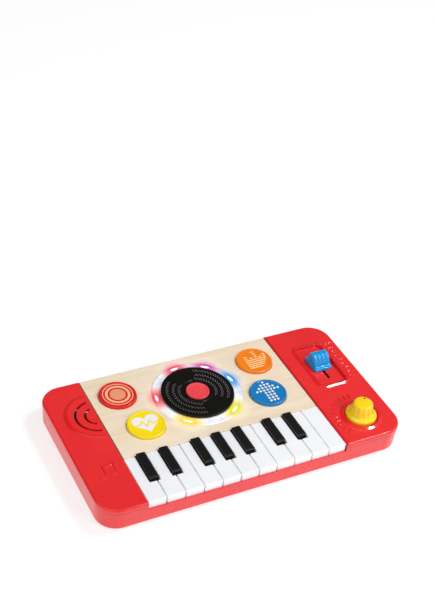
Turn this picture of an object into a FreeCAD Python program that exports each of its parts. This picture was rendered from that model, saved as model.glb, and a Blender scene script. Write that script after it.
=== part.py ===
import FreeCAD, Part
import math
import os
import re
import Sketcher
from FreeCAD import Placement, Rotation, Vector

# Toy electronic keyboard with a spinning record, four round push buttons, a fader and a knob.
# Frame: X along the length (treble to the right), Y from the player to the back, Z up.
# Origin: the middle of the footprint, on the table under the rubber feet. Millimetres.

WHITE_KEYS = 11
# Each black key stands over the gap after this many white keys, shifted sideways by a share
# of black_shift: outwards in a pair or in a group of three, level for the middle one.
BLACK_KEYS = [(1, -1.0), (2, 1.0), (4, -1.35), (5, 0.0), (6, 1.35), (8, -1.0), (9, 1.0)]
# The gaps between white keys with no black key over them: a post carries the hinge rod there.
OPEN_GAPS = [3, 7, 10]
LAMP_ANGLES = [12, 54, 99, 170, 232, 307]

SIZES = {
    # case
    "case_length": 320.0, "case_depth": 172.4, "case_height": 25.0, "corner_radius": 21.8,
    "wall": 2.4, "draft_angle": 2.0, "base_edge_radius": 2.4, "cap_edge_radius": 2.0,
    "seam_drop": 5.0, "seam_step": 0.3, "fit_gap": 0.2,
    "foot_proud": 1.2, "foot_radius": 5.9, "foot_sink": 0.8, "foot_inset_x": 32.0, "foot_inset_y": 10.6, "left_cap": 44.1, "key_bay": 60.0,
    # plywood panel and the deck it lies on
    "cap_proud": 1.2, "wood_thickness": 3.0, "deck_thickness": 2.0, "panel_gap": 0.25,
    # front rail
    "rail_drop": 9.2, "rail_thickness": 1.6, "relief_floor": 8.0,
    # keys
    "key_pitch": 18.9, "key_gap": 0.8, "key_front_gap": 0.4, "key_back_gap": 0.4,
    "key_depth": 12.5, "key_skin": 1.6, "key_edge_radius": 0.7, "black_width": 10.0,
    "black_length": 34.8, "black_proud": 3.3, "black_shift": 2.0,
    "black_clearance": 0.5, "shoulder_gap": 0.9, "arm_width": 6.4, "black_arm_width": 5.0, "arm_top_gap": 0.8,
    "arm_height": 7.0, "pivot_inset": 6.0, "pivot_drop": 5.5, "rod_radius": 1.5,
    "hub_radius": 3.3, "rod_clearance": 0.06, "post_thickness": 2.6, "post_half_depth": 4.0,
    "plunger_inset": 24.0, "plunger_length": 4.0, "dome_sheet": 1.0, "dome_height": 1.6,
    # record and lit ring
    "record_inset": 55.1, "record_radius": 36.4, "record_thickness": 2.2, "record_gap": 0.6,
    "label_radius": 11.7, "label_height": 1.2, "ring_inner": 33.0, "ring_radius": 45.5,
    "ring_proud": 0.3, "spindle_radius": 3.0, "spindle_clearance": 0.06, "bush_radius": 6.0,
    "wheel_radius": 12.0, "wheel_thickness": 1.0, "lamp_circle": 41.5, "lamp_radius": 2.5,
    "lamp_board_inner": 36.0, "lamp_board_outer": 46.0,
    # push buttons
    "button_radius": 18.7, "button_gap": 0.4, "button_proud": 3.0, "button_travel": 1.5,
    "button_skin": 2.0, "flange_width": 1.7, "flange_height": 1.8, "flange_drop": 0.4,
    "plunger_radius": 4.0, "button_reach": 13.0, "outer_button_x": 75.6, "outer_button_y": 23.2,
    "inner_button_x": 66.2, "inner_button_y": 24.8, "dome_gap": 0.2,
    # fader
    "right_control_inset": 33.8, "fader_inset": 60.7, "fader_bay_width": 30.0,
    "fader_bay_length": 60.0, "fader_bay_radius": 5.0, "bay_sink": 2.0, "fader_rest": 4.0,
    "fader_travel": 33.0, "fader_width": 20.0, "fader_length": 22.8, "fader_base_height": 3.0,
    "fader_height": 13.8, "fader_grip_front": 4.6, "fader_grip_back": 5.6, "fader_hover": 0.5,
    "lever_width": 2.0, "lever_length": 4.0, "lever_clearance": 0.5, "fader_body_width": 12.0,
    "rim_width": 2.4, "rim_height": 1.0, "rim_edge_radius": 0.95,
    # knob
    "knob_inset": 31.9, "knob_bay_radius": 16.9, "knob_bay_sink": 1.2, "knob_hover": 0.5,
    "knob_skirt_radius": 15.4, "knob_grip_radius": 10.3, "knob_height": 17.3,
    "knob_skirt_height": 2.4, "knob_neck_height": 7.4, "flute_radius": 1.1, "shaft_radius": 3.0,
    # loudspeaker
    "grille_x": 43.0, "grille_inset": 51.2, "inner_slot_radius": 11.2, "outer_slot_radius": 20.6,
    "slot_width": 2.4, "grille_rim_radius": 28.7,
    "speaker_x": 22.5, "speaker_radius": 18.0, "magnet_radius": 10.0,
    # screws and bosses
    "boss_radius": 3.6, "boss_split": 14.0, "screw_hole": 1.7, "screw_radius": 1.4,
    "pilot_radius": 1.25, "head_radius": 3.0, "head_height": 2.0, "head_well": 3.2,
    "corner_boss_x": 14.0, "corner_boss_y": 12.2, "side_boss_y": 24.2, "side_boss_x": 8.0,
    "rear_boss_x": 39.0, "rear_boss_inset": 8.2,
    # circuit boards
    "board_thickness": 1.6, "low_board": 5.0, "key_board_height": 6.4, "high_board": 9.0,
    "standoff_radius": 2.5, "main_board_width": 80.0, "control_board_width": 48.0,
    # batteries, their contacts and their door
    "cell_radius": 5.25, "cell_length": 44.5, "cell_pitch": 10.9, "battery_inset_x": 22.4,
    "battery_inset_y": 48.2, "bay_width": 35.0, "bay_length": 50.0, "bay_wall": 1.4,
    "bay_height": 12.0, "door_thickness": 2.0, "door_gap": 0.25, "ear_width": 12.0,
    "ear_length": 11.0, "ear_thickness": 1.2, "contact_width": 7.0, "contact_height": 8.0,
    "contact_thickness": 0.5,
    # power switch in the back wall
    "switch_inset": 50.0, "switch_z": 11.0, "switch_slot": 11.0, "switch_height": 3.6,
    "switch_lever": 4.0, "switch_travel": 3.0,
}

doc = FreeCAD.newDocument("toy_keyboard")
sheet = doc.addObject("Spreadsheet::Sheet", "Sizes")
for row, (alias, value) in enumerate(SIZES.items(), start=1):
    sheet.set(f"A{row}", str(value))
    sheet.setAlias(f"A{row}", alias)
doc.recompute()

# Places worked out from the sizes, as expressions that the sheet keeps alive.
LEFT, RIGHT = "(-case_length/2)", "(case_length/2)"
FRONT, BACK = "(-case_depth/2)", "(case_depth/2)"
PANEL_LEFT = "(-case_length/2 + left_cap)"
PANEL_RIGHT = f"({PANEL_LEFT} + {WHITE_KEYS}*key_pitch)"
PANEL_FRONT = f"({FRONT} + key_bay)"
FLOOR = "foot_proud"
FLOOR_TOP = "(foot_proud + wall)"
CAP_TOP = "(foot_proud + case_height)"
CAP_UNDER = f"({CAP_TOP} - wall)"
SEAM = f"({CAP_TOP} - seam_drop)"
WOOD_TOP = f"({CAP_TOP} - cap_proud)"
DECK_TOP = f"({WOOD_TOP} - wood_thickness)"
DECK_UNDER = f"({DECK_TOP} - deck_thickness)"
RAIL_TOP = f"({CAP_TOP} - rail_drop)"
RAIL_BACK = f"({FRONT} + seam_step + rail_thickness)"
PIVOT_Y = f"({PANEL_FRONT} + pivot_inset)"
PIVOT_Z = f"({DECK_UNDER} - pivot_drop)"
RECORD_X = f"({PANEL_LEFT} + {WHITE_KEYS}*key_pitch/2)"
RECORD_Y = f"({BACK} - record_inset)"
CONTROL_X = f"({RIGHT} - right_control_inset)"
FADER_Y = f"({BACK} - fader_inset)"
KNOB_Y = f"({FRONT} + knob_inset)"
BAY_FLOOR = f"({CAP_TOP} - bay_sink)"
KNOB_FLOOR = f"({CAP_TOP} - knob_bay_sink)"
GRILLE_X = f"({LEFT} + grille_x)"
SPEAKER_X = f"({LEFT} + speaker_x)"
SPEAKER_Y = f"({BACK} - grille_inset)"
CELL_Z = f"({FLOOR} + door_thickness + cell_radius + 0.3)"
BATTERY_X = f"({LEFT} + battery_inset_x)"
BATTERY_Y = f"({FRONT} + battery_inset_y)"
KEY_UNDER = f"({WOOD_TOP} - key_depth)"
KEY_BOARD_TOP = "(key_board_height + board_thickness)"
HIGH_BOARD_TOP = "(high_board + board_thickness)"
BUTTONS = {
    "button_target": (f"{RECORD_X} - outer_button_x", f"{RECORD_Y} + outer_button_y"),
    "button_heart": (f"{RECORD_X} - inner_button_x", f"{RECORD_Y} - inner_button_y"),
    "button_bars": (f"{RECORD_X} + outer_button_x", f"{RECORD_Y} + outer_button_y"),
    "button_arrow": (f"{RECORD_X} + inner_button_x", f"{RECORD_Y} - inner_button_y"),
}
CORNER_BOSSES = [(f"{side}*(case_length/2 - corner_boss_x)", f"{end}*(case_depth/2 - corner_boss_y)")
                 for side in (-1, 1) for end in (-1, 1)]
DECK_BOSSES = [
    (f"{PANEL_LEFT} + side_boss_x", f"{PANEL_FRONT} + side_boss_y"),
    (f"{PANEL_RIGHT} - side_boss_x", f"{PANEL_FRONT} + side_boss_y"),
    (f"{RECORD_X} - rear_boss_x", f"{BACK} - rear_boss_inset"),
    (f"{RECORD_X} + rear_boss_x", f"{BACK} - rear_boss_inset"),
]
FEET = [(f"{side}*(case_length/2 - foot_inset_x)", f"{end}*(case_depth/2 - foot_inset_y)")
        for side in (-1, 1) for end in (-1, 1)]

pieces = []


def named(expression):
    """Turn plain size names into references to the sheet."""
    return re.sub(r"[a-z_]+", lambda m: "Sizes." + m[0] if m[0] in SIZES else m[0], str(expression))


def amount(expression):
    """The present value of an expression."""
    return float(sheet.evalExpression(named(expression)))


def bind(thing, path, expression):
    """Tie one property to the sheet."""
    thing.setExpression(path, named(expression))


def keep(thing, label):
    """Register a finished sub-part under its node name."""
    thing.Label = label
    pieces.append(thing)
    return thing


# ---------- solids made of primitives ----------

def box(x, y, z):
    """A block between pairs of expressions along X, Y and Z."""
    block = doc.addObject("Part::Box", "block")
    for size, axis, (low, high) in (("Length", "x", x), ("Width", "y", y), ("Height", "z", z)):
        bind(block, size, f"({high}) - ({low})")
        bind(block, f"Placement.Base.{axis}", low)
    return block


def centred(middle, width):
    """The two ends of a stretch about a middle."""
    return f"({middle}) - ({width})/2", f"({middle}) + ({width})/2"


def rod(centre, radius, z):
    """An upright cylinder between two heights."""
    post = doc.addObject("Part::Cylinder", "post")
    bind(post, "Radius", radius)
    bind(post, "Height", f"({z[1]}) - ({z[0]})")
    for axis, place in zip("xyz", (*centre, z[0])):
        bind(post, f"Placement.Base.{axis}", place)
    return post


def lying_rod(start, radius, length, towards):
    """A cylinder that lies along X or Y from its start point."""
    bar = doc.addObject("Part::Cylinder", "bar")
    bind(bar, "Radius", radius)
    bind(bar, "Height", length)
    turn = Rotation(Vector(0, 1, 0), 90) if towards == "x" else Rotation(Vector(1, 0, 0), -90)
    bar.Placement = Placement(Vector(), turn)
    for axis, place in zip("xyz", start):
        bind(bar, f"Placement.Base.{axis}", place)
    return bar


def joined(parts):
    """One solid from several."""
    union = doc.addObject("Part::MultiFuse", "union")
    union.Shapes = parts
    return union


def together(parts):
    """Several separate solids in one node."""
    group = doc.addObject("Part::Compound", "group")
    group.Links = parts
    return group


def without(base, tools):
    """A solid with others taken away."""
    cut = doc.addObject("Part::Cut", "cut")
    cut.Base = base
    cut.Tool = tools[0] if len(tools) == 1 else joined(tools)
    return cut


# ---------- solids made of sketches ----------

def new_body(label):
    return keep(doc.addObject("PartDesign::Body", label), label)


def sketch_in(body, height="0", plane="XY_Plane"):
    """An empty sketch on one of the body's own planes, at a height along its normal."""
    sketch = body.newObject("Sketcher::SketchObject", "sketch")
    origin_plane = next(f for f in body.Origin.OriginFeatures if f.Role == plane)
    sketch.AttachmentSupport = [(origin_plane, "")]
    sketch.MapMode = "FlatFace"
    bind(sketch, ".AttachmentOffset.Base.z", height)
    return sketch


def pin(sketch, edge, end, point):
    """Hold one end of an edge at a place measured from the sketch's origin."""
    for kind, place in zip(("DistanceX", "DistanceY"), point):
        constraint = Sketcher.Constraint(kind, -1, 1, edge, end, amount(place))
        index = sketch.addConstraint(constraint)
        bind(sketch, f"Constraints[{index}]", place)


def draw_outline(sketch, points):
    """A closed outline of straight lines through points given as expressions."""
    spots = [Vector(amount(x), amount(y), 0) for x, y in points]
    first = sketch.GeometryCount
    for spot, after in zip(spots, spots[1:] + spots[:1]):
        sketch.addGeometry(Part.LineSegment(spot, after), False)
    for step, point in enumerate(points):
        following = first + (step + 1) % len(points)
        sketch.addConstraint(Sketcher.Constraint("Coincident", first + step, 2, following, 1))
        pin(sketch, first + step, 1, point)


def draw_rectangle(sketch, x, y):
    draw_outline(sketch, [(x[0], y[0]), (x[1], y[0]), (x[1], y[1]), (x[0], y[1])])


def draw_circle(sketch, centre, radius):
    middle = Vector(amount(centre[0]), amount(centre[1]), 0)
    edge = sketch.addGeometry(Part.Circle(middle, Vector(0, 0, 1), amount(radius)), False)
    pin(sketch, edge, 3, centre)
    index = sketch.addConstraint(Sketcher.Constraint("Radius", edge, amount(radius)))
    bind(sketch, f"Constraints[{index}]", radius)


def draw_rounded(sketch, x, y, radius):
    """A rectangle with round corners: four arcs about pinned centres, joined by lines."""
    size = amount(radius)
    inner_x = (f"({x[0]}) + ({radius})", f"({x[1]}) - ({radius})")
    inner_y = (f"({y[0]}) + ({radius})", f"({y[1]}) - ({radius})")
    corners = [(inner_x[1], inner_y[1]), (inner_x[0], inner_y[1]),
               (inner_x[0], inner_y[0]), (inner_x[1], inner_y[0])]
    arcs = []
    for quarter, corner in enumerate(corners):
        circle = Part.Circle(Vector(amount(corner[0]), amount(corner[1]), 0), Vector(0, 0, 1), size)
        start = quarter * math.pi/2
        arcs.append(sketch.addGeometry(Part.ArcOfCircle(circle, start, start + math.pi/2)))
        pin(sketch, arcs[-1], 3, corner)
    for step, arc in enumerate(arcs):
        after = arcs[(step + 1) % 4]
        ends = sketch.getPoint(arc, 2), sketch.getPoint(after, 1)
        line = sketch.addGeometry(Part.LineSegment(*ends), False)
        sketch.addConstraint(Sketcher.Constraint("Tangent", arc, 2, line, 1))
        sketch.addConstraint(Sketcher.Constraint("Tangent", line, 2, after, 1))
        if step < 3:
            level = "Horizontal" if step % 2 == 0 else "Vertical"
            sketch.addConstraint(Sketcher.Constraint(level, line))
    index = sketch.addConstraint(Sketcher.Constraint("Radius", arcs[0], size))
    bind(sketch, f"Constraints[{index}]", radius)


def pad(body, sketch, length, down=False, draft=None):
    """Add material from a sketch; a draft narrows it as it goes."""
    feature = body.newObject("PartDesign::Pad", "pad")
    feature.Profile = sketch
    bind(feature, "Length", length)
    feature.Reversed = down
    if draft:
        bind(feature, "TaperAngle", f"-{draft}")
    return feature


def pocket(body, sketch, length, up=False, draft=None, both_ways=False):
    """Take material away below a sketch, or above it; it has to remove something."""
    doc.recompute()
    before = body.Shape.Volume
    feature = body.newObject("PartDesign::Pocket", "pocket")
    feature.Profile = sketch
    bind(feature, "Length", length)
    feature.Reversed = up
    feature.Midplane = both_ways
    if draft:
        bind(feature, "TaperAngle", f"-{draft}")
    doc.recompute()
    if not body.Shape.Volume < before:
        raise ValueError(f"a pocket in {body.Label} removed nothing")
    return feature


def round_edges(body, radius, wanted):
    """Fillet the edges of the body's last feature that a test picks out."""
    doc.recompute()
    base = body.Tip
    names = [f"Edge{i}" for i, edge in enumerate(base.Shape.Edges, start=1) if wanted(edge)]
    feature = body.newObject("PartDesign::Fillet", "fillet")
    feature.Base = (base, names)
    bind(feature, "Radius", radius)
    return feature


def level_at(height):
    """A test for edges that lie flat at one height."""
    z = amount(height)
    return lambda edge: abs(edge.BoundBox.ZMin - z) < 0.01 and abs(edge.BoundBox.ZMax - z) < 0.01


def turned(label, profile, centre):
    """A round piece: a profile of (radius, height) points turned about an upright axis."""
    body = new_body(label)
    sketch = sketch_in(body, plane="XZ_Plane")
    draw_outline(sketch, profile)
    feature = body.newObject("PartDesign::Revolution", "turning")
    feature.Profile = sketch
    feature.ReferenceAxis = (sketch, ["V_Axis"])
    feature.Angle = 360
    for axis, place in zip("xy", centre):
        bind(body, f".Placement.Base.{axis}", place)
    return body


# ---------- base shell: the red tray ----------

def make_base_shell():
    """Tray with drafted walls, front rail, screw bosses, rod posts and the battery bay."""
    shell = new_body("base_shell")
    outer_x = f"{LEFT} + seam_step", f"{RIGHT} - seam_step"
    outer_y = f"{FRONT} + seam_step", f"{BACK} - seam_step"
    outline = sketch_in(shell, SEAM)
    draw_rounded(outline, outer_x, outer_y, "corner_radius - seam_step")
    pad(shell, outline, f"{SEAM} - {FLOOR}", down=True, draft="draft_angle")
    round_edges(shell, "base_edge_radius", level_at(FLOOR))

    hollow = sketch_in(shell, SEAM)
    draw_rounded(hollow, (f"{outer_x[0]} + wall", f"{outer_x[1]} - wall"),
                 (f"{outer_y[0]} + wall", f"{outer_y[1]} - wall"), "corner_radius - seam_step - wall")
    pocket(shell, hollow, f"{SEAM} - {FLOOR_TOP}", draft="draft_angle")

    bosses = sketch_in(shell, f"{FLOOR} + wall/2")
    for spot in CORNER_BOSSES + DECK_BOSSES:
        draw_circle(bosses, spot, "boss_radius")
    pad(shell, bosses, f"boss_split - {FLOOR} - wall/2")

    posts = sketch_in(shell, f"{FLOOR} + wall/2")
    for middle in rod_post_places():
        draw_rectangle(posts, centred(middle, "post_thickness"), centred(PIVOT_Y, "2*post_half_depth"))
    pad(shell, posts, f"{PIVOT_Z} + 2*rod_radius - {FLOOR} - wall/2")

    for height, spots in standoffs().items():
        stubs = sketch_in(shell, f"{FLOOR} + wall/2")
        for spot in spots:
            draw_circle(stubs, spot, "standoff_radius")
        pad(shell, stubs, f"{height} - {FLOOR} - wall/2")

    bay = sketch_in(shell, f"{FLOOR} + wall/2")
    draw_rectangle(bay, centred(BATTERY_X, "bay_width + 2*bay_wall"),
                   centred(BATTERY_Y, "bay_length + 2*bay_wall"))
    draw_rectangle(bay, centred(BATTERY_X, "bay_width"), centred(BATTERY_Y, "bay_length"))
    pad(shell, bay, "bay_height")
    ear_boss = sketch_in(shell, f"{FLOOR} + wall/2")
    draw_circle(ear_boss, door_screw_place(), "standoff_radius")
    pad(shell, ear_boss, "bay_height - wall")

    opening = sketch_in(shell, FLOOR_TOP)
    draw_rectangle(opening, centred(BATTERY_X, "bay_width"), centred(BATTERY_Y, "bay_length"))
    pocket(shell, opening, "2*wall")
    ear = sketch_in(shell, FLOOR)
    draw_rectangle(ear, centred(BATTERY_X, "ear_width"),
                   (f"{BATTERY_Y} + bay_length/2 - 0.5", f"{BATTERY_Y} + bay_length/2 + ear_length"))
    pocket(shell, ear, "ear_thickness + 0.1", up=True)
    ear_hole = sketch_in(shell, FLOOR)
    draw_circle(ear_hole, door_screw_place(), "pilot_radius")
    pocket(shell, ear_hole, "bay_height - 2*wall", up=True)

    notch = sketch_in(shell, SEAM)
    draw_rectangle(notch, (PANEL_LEFT, PANEL_RIGHT), (f"{FRONT} - 1", f"{FRONT} + 3*wall"))
    pocket(shell, notch, f"{SEAM} - {RAIL_TOP}")
    relief = sketch_in(shell, SEAM)
    draw_rectangle(relief, (PANEL_LEFT, PANEL_RIGHT), (RAIL_BACK, f"{FRONT} + 3*wall"))
    pocket(shell, relief, f"{SEAM} - relief_floor")

    wells = sketch_in(shell, FLOOR)
    for spot in CORNER_BOSSES + DECK_BOSSES:
        draw_circle(wells, spot, "head_radius + 0.2")
    pocket(shell, wells, "head_well", up=True)
    holes = sketch_in(shell, FLOOR)
    for spot in CORNER_BOSSES + DECK_BOSSES:
        draw_circle(holes, spot, "screw_hole")
    pocket(shell, holes, f"boss_split - {FLOOR} + 1", up=True)
    seats = sketch_in(shell, FLOOR)
    for spot in FEET:
        draw_circle(seats, spot, "foot_radius + 0.1")
    pocket(shell, seats, "foot_sink", up=True)

    rod_way = sketch_in(shell, plane="YZ_Plane")
    draw_circle(rod_way, (PIVOT_Y, PIVOT_Z), "rod_radius + rod_clearance")
    pocket(shell, rod_way, f"2*(case_length/2 - wall - left_cap/2)", both_ways=True)

    switch_way = sketch_in(shell, f"-({BACK} + 1)", plane="XZ_Plane")
    draw_rectangle(switch_way, centred(f"{RIGHT} - switch_inset", "switch_slot"),
                   centred("switch_z", "switch_height"))
    pocket(shell, switch_way, "3*wall", up=True)
    return shell


def rod_post_places():
    """Where posts carry the key rod: both ends, and the gaps with no black key."""
    ends = [f"{PANEL_LEFT} + post_thickness/2 + 0.1", f"{PANEL_RIGHT} - post_thickness/2 - 0.1"]
    return ends + [f"{PANEL_LEFT} + {gap}*key_pitch" for gap in OPEN_GAPS]


def door_screw_place():
    return BATTERY_X, f"{BATTERY_Y} + bay_length/2 + ear_length/2"


def standoffs():
    """The stubs under each circuit board, by the height of the board."""
    key_board = [(f"{PANEL_LEFT} + {share}*key_pitch", f"{PANEL_FRONT} - {inset}")
                 for share in (1, 5.5, 10) for inset in (4, 44)]
    main_board = [(f"{RECORD_X} + {x}*main_board_width", f"{RECORD_Y} + {y}")
                  for x in (-0.45, 0.45) for y in (-28, 36)]
    button_boards = [(f"{RECORD_X} + {x}", f"{RECORD_Y} - 2") for x in (-88, -54, 54, 84)]
    control_board = [(f"{CONTROL_X} + {x}", y) for x in (-20, 20)
                     for y in (f"{KNOB_Y} - 6", f"{FADER_Y} + 23")]
    return {"key_board_height": key_board, "low_board": main_board,
            "high_board": button_boards + control_board}


# ---------- top cover: two caps and the deck between them ----------

def make_top_cover():
    """Red moulding: two caps, the deck under the plywood, bays for the fader and the knob."""
    cover = new_body("top_cover")
    outline = sketch_in(cover, CAP_TOP)
    draw_rounded(outline, (LEFT, RIGHT), (FRONT, BACK), "corner_radius")
    pad(cover, outline, "seam_drop", down=True)
    hollow = sketch_in(cover, SEAM)
    draw_rounded(hollow, (f"{LEFT} + wall", f"{RIGHT} - wall"),
                 (f"{FRONT} + wall", f"{BACK} - wall"), "corner_radius - wall")
    pocket(cover, hollow, "seam_drop - wall", up=True)

    back_reach = f"{BACK} - seam_step - wall - fit_gap"
    cheeks = sketch_in(cover, DECK_UNDER)
    draw_rectangle(cheeks, (f"{PANEL_LEFT} - wall", PANEL_LEFT), (f"{FRONT} + 1.5*wall", back_reach))
    draw_rectangle(cheeks, (PANEL_RIGHT, f"{PANEL_RIGHT} + wall"), (f"{FRONT} + 1.5*wall", back_reach))
    pad(cover, cheeks, f"{CAP_TOP} - wall/2 - {DECK_UNDER}")
    aprons = sketch_in(cover, "boss_split")
    for x in ((f"{PANEL_LEFT} - wall", PANEL_LEFT), (PANEL_RIGHT, f"{PANEL_RIGHT} + wall")):
        draw_rectangle(aprons, x, (f"{FRONT} + 1.5*wall", PANEL_FRONT))
    pad(cover, aprons, f"{SEAM} - boss_split")
    deck = sketch_in(cover, DECK_UNDER)
    draw_rectangle(deck, (f"{PANEL_LEFT} - wall/2", f"{PANEL_RIGHT} + wall/2"),
                   (PANEL_FRONT, back_reach))
    pad(cover, deck, "deck_thickness")
    ledge = sketch_in(cover, SEAM)
    draw_rectangle(ledge, (f"{PANEL_LEFT} - wall/2", f"{PANEL_RIGHT} + wall/2"),
                   (f"{back_reach} - wall/2", f"{BACK} - wall/2"))
    pad(cover, ledge, f"{DECK_TOP} - {SEAM}")

    panel_bay = sketch_in(cover, CAP_TOP)
    draw_rectangle(panel_bay, (PANEL_LEFT, PANEL_RIGHT), (PANEL_FRONT, f"{BACK} + 1"))
    pocket(cover, panel_bay, f"{CAP_TOP} - {DECK_TOP}")
    key_opening = sketch_in(cover, CAP_TOP)
    draw_rectangle(key_opening, (PANEL_LEFT, PANEL_RIGHT), (f"{FRONT} - 1", PANEL_FRONT))
    pocket(cover, key_opening, f"{CAP_TOP} - boss_split")
    round_edges(cover, "cap_edge_radius", level_at(CAP_TOP))

    fader_x = centred(CONTROL_X, "fader_bay_width")
    fader_y = centred(FADER_Y, "fader_bay_length")
    tub = sketch_in(cover, f"{BAY_FLOOR} - wall/2")
    draw_rounded(tub, (f"{fader_x[0]} - wall", f"{fader_x[1]} + wall"),
                 (f"{fader_y[0]} - wall", f"{fader_y[1]} + wall"), "fader_bay_radius + wall")
    pad(cover, tub, "bay_sink")
    bay = sketch_in(cover, CAP_TOP)
    draw_rounded(bay, fader_x, fader_y, "fader_bay_radius")
    pocket(cover, bay, "bay_sink")
    slot = sketch_in(cover, CAP_TOP)
    draw_rectangle(slot, centred(CONTROL_X, "lever_width + 2*lever_clearance"),
                   centred(FADER_Y, "fader_travel + lever_length + 2*lever_clearance"))
    pocket(cover, slot, "seam_drop")

    dish = sketch_in(cover, f"{KNOB_FLOOR} - wall/2")
    draw_circle(dish, (CONTROL_X, KNOB_Y), "knob_bay_radius + wall")
    pad(cover, dish, "knob_bay_sink")
    well = sketch_in(cover, CAP_TOP)
    draw_circle(well, (CONTROL_X, KNOB_Y), "knob_bay_radius")
    pocket(cover, well, "knob_bay_sink")
    shaft_hole = sketch_in(cover, CAP_TOP)
    draw_circle(shaft_hole, (CONTROL_X, KNOB_Y), "shaft_radius + 1.4")
    pocket(cover, shaft_hole, "seam_drop")

    rims = sketch_in(cover, f"{CAP_TOP} - wall/2")
    draw_rounded(rims, (f"{fader_x[0]} - rim_width", f"{fader_x[1]} + rim_width"),
                 (f"{fader_y[0]} - rim_width", f"{fader_y[1]} + rim_width"),
                 "fader_bay_radius + rim_width")
    draw_rounded(rims, fader_x, fader_y, "fader_bay_radius")
    draw_circle(rims, (CONTROL_X, KNOB_Y), "knob_bay_radius + rim_width")
    draw_circle(rims, (CONTROL_X, KNOB_Y), "knob_bay_radius")
    draw_arc_band(rims, (GRILLE_X, SPEAKER_Y), "grille_rim_radius", "rim_width", (93, 267))
    pad(cover, rims, "wall/2 + rim_height")
    round_edges(cover, "rim_edge_radius", level_at(f"{CAP_TOP} + rim_height"))

    for radius, span in (("inner_slot_radius", (107, 249)), ("outer_slot_radius", (98, 262))):
        arc_slot = sketch_in(cover, CAP_TOP)
        draw_arc_band(arc_slot, (GRILLE_X, SPEAKER_Y), radius, "slot_width", span)
        pocket(cover, arc_slot, "seam_drop")

    openings = sketch_in(cover, DECK_TOP)
    for spot in BUTTONS.values():
        draw_circle(openings, spot, "button_radius + button_gap")
    draw_circle(openings, (RECORD_X, RECORD_Y), "bush_radius")
    pocket(cover, openings, "2*deck_thickness")
    for angle in LAMP_ANGLES:
        lamp_hole = sketch_in(cover, DECK_TOP)
        draw_circle(lamp_hole, lamp_place(angle), "lamp_radius + 0.3")
        pocket(cover, lamp_hole, "2*deck_thickness")

    for spots, top in ((CORNER_BOSSES, f"{CAP_UNDER} + wall/2"), (DECK_BOSSES, f"{DECK_UNDER} + 0.5")):
        bosses = sketch_in(cover, "boss_split")
        for spot in spots:
            draw_circle(bosses, spot, "boss_radius")
        pad(cover, bosses, f"{top} - boss_split")
    pilots = sketch_in(cover, "boss_split")
    for spot in CORNER_BOSSES + DECK_BOSSES:
        draw_circle(pilots, spot, "pilot_radius")
    pocket(cover, pilots, f"{DECK_UNDER} - boss_split", up=True)
    return cover


def lamp_place(angle):
    """A lamp's place on its circle about the record."""
    return f"{RECORD_X} + lamp_circle*cos({angle} deg)", f"{RECORD_Y} + lamp_circle*sin({angle} deg)"


def draw_arc_band(sketch, centre, radius, width, span):
    """A band along an arc: two arcs about one centre, closed by straight ends."""
    middle = Vector(amount(centre[0]), amount(centre[1]), 0)
    start, stop = (math.radians(angle) for angle in span)
    edges = []
    for side in ("-", "+"):
        reach = f"{radius} {side} {width}/2"
        arc = Part.ArcOfCircle(Part.Circle(middle, Vector(0, 0, 1), amount(reach)), start, stop)
        edges.append(sketch.addGeometry(arc, False))
        pin(sketch, edges[-1], 3, centre)
        for end, angle in ((1, span[0]), (2, span[1])):
            spot = (f"{centre[0]} + ({reach})*cos({angle} deg)",
                    f"{centre[1]} + ({reach})*sin({angle} deg)")
            pin_free(sketch, edges[-1], end, spot)
    for end in (1, 2):
        line = sketch.addGeometry(Part.LineSegment(sketch.getPoint(edges[0], end),
                                                   sketch.getPoint(edges[1], end)), False)
        sketch.addConstraint(Sketcher.Constraint("Coincident", edges[0], end, line, 1))
        sketch.addConstraint(Sketcher.Constraint("Coincident", edges[1], end, line, 2))


def pin_free(sketch, edge, end, point):
    """Hold an arc's end: both ways at its start, and only along the slope's steeper way at its stop."""
    if end == 1:
        pin(sketch, edge, end, point)
        return
    index = sketch.addConstraint(Sketcher.Constraint("DistanceY", -1, 1, edge, end, amount(point[1])))
    bind(sketch, f"Constraints[{index}]", point[1])


# ---------- plywood panel ----------

def make_wood_panel():
    """Plywood plate between the caps, with round openings for the ring and the buttons."""
    panel = new_body("wood_panel")
    outline = sketch_in(panel, DECK_TOP)
    draw_rectangle(outline, (f"{PANEL_LEFT} + panel_gap", f"{PANEL_RIGHT} - panel_gap"),
                   (PANEL_FRONT, BACK))
    pad(panel, outline, "wood_thickness")
    openings = sketch_in(panel, WOOD_TOP)
    for spot in BUTTONS.values():
        draw_circle(openings, spot, "button_radius + button_gap")
    draw_circle(openings, (RECORD_X, RECORD_Y), "ring_radius + 0.2")
    pocket(panel, openings, "2*wood_thickness")
    edges = level_at(WOOD_TOP)
    back = amount(BACK)
    front = amount(PANEL_FRONT)
    round_edges(panel, "wood_thickness/4", lambda edge: edges(edge)
                and min(abs(edge.CenterOfMass.y - back), abs(edge.CenterOfMass.y - front)) < 0.01)
    return panel


# ---------- keys ----------

def black_places():
    """Middle line of each black key."""
    return {gap: f"({PANEL_LEFT} + {gap}*key_pitch + {shift}*black_shift)" for gap, shift in BLACK_KEYS}


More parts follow.
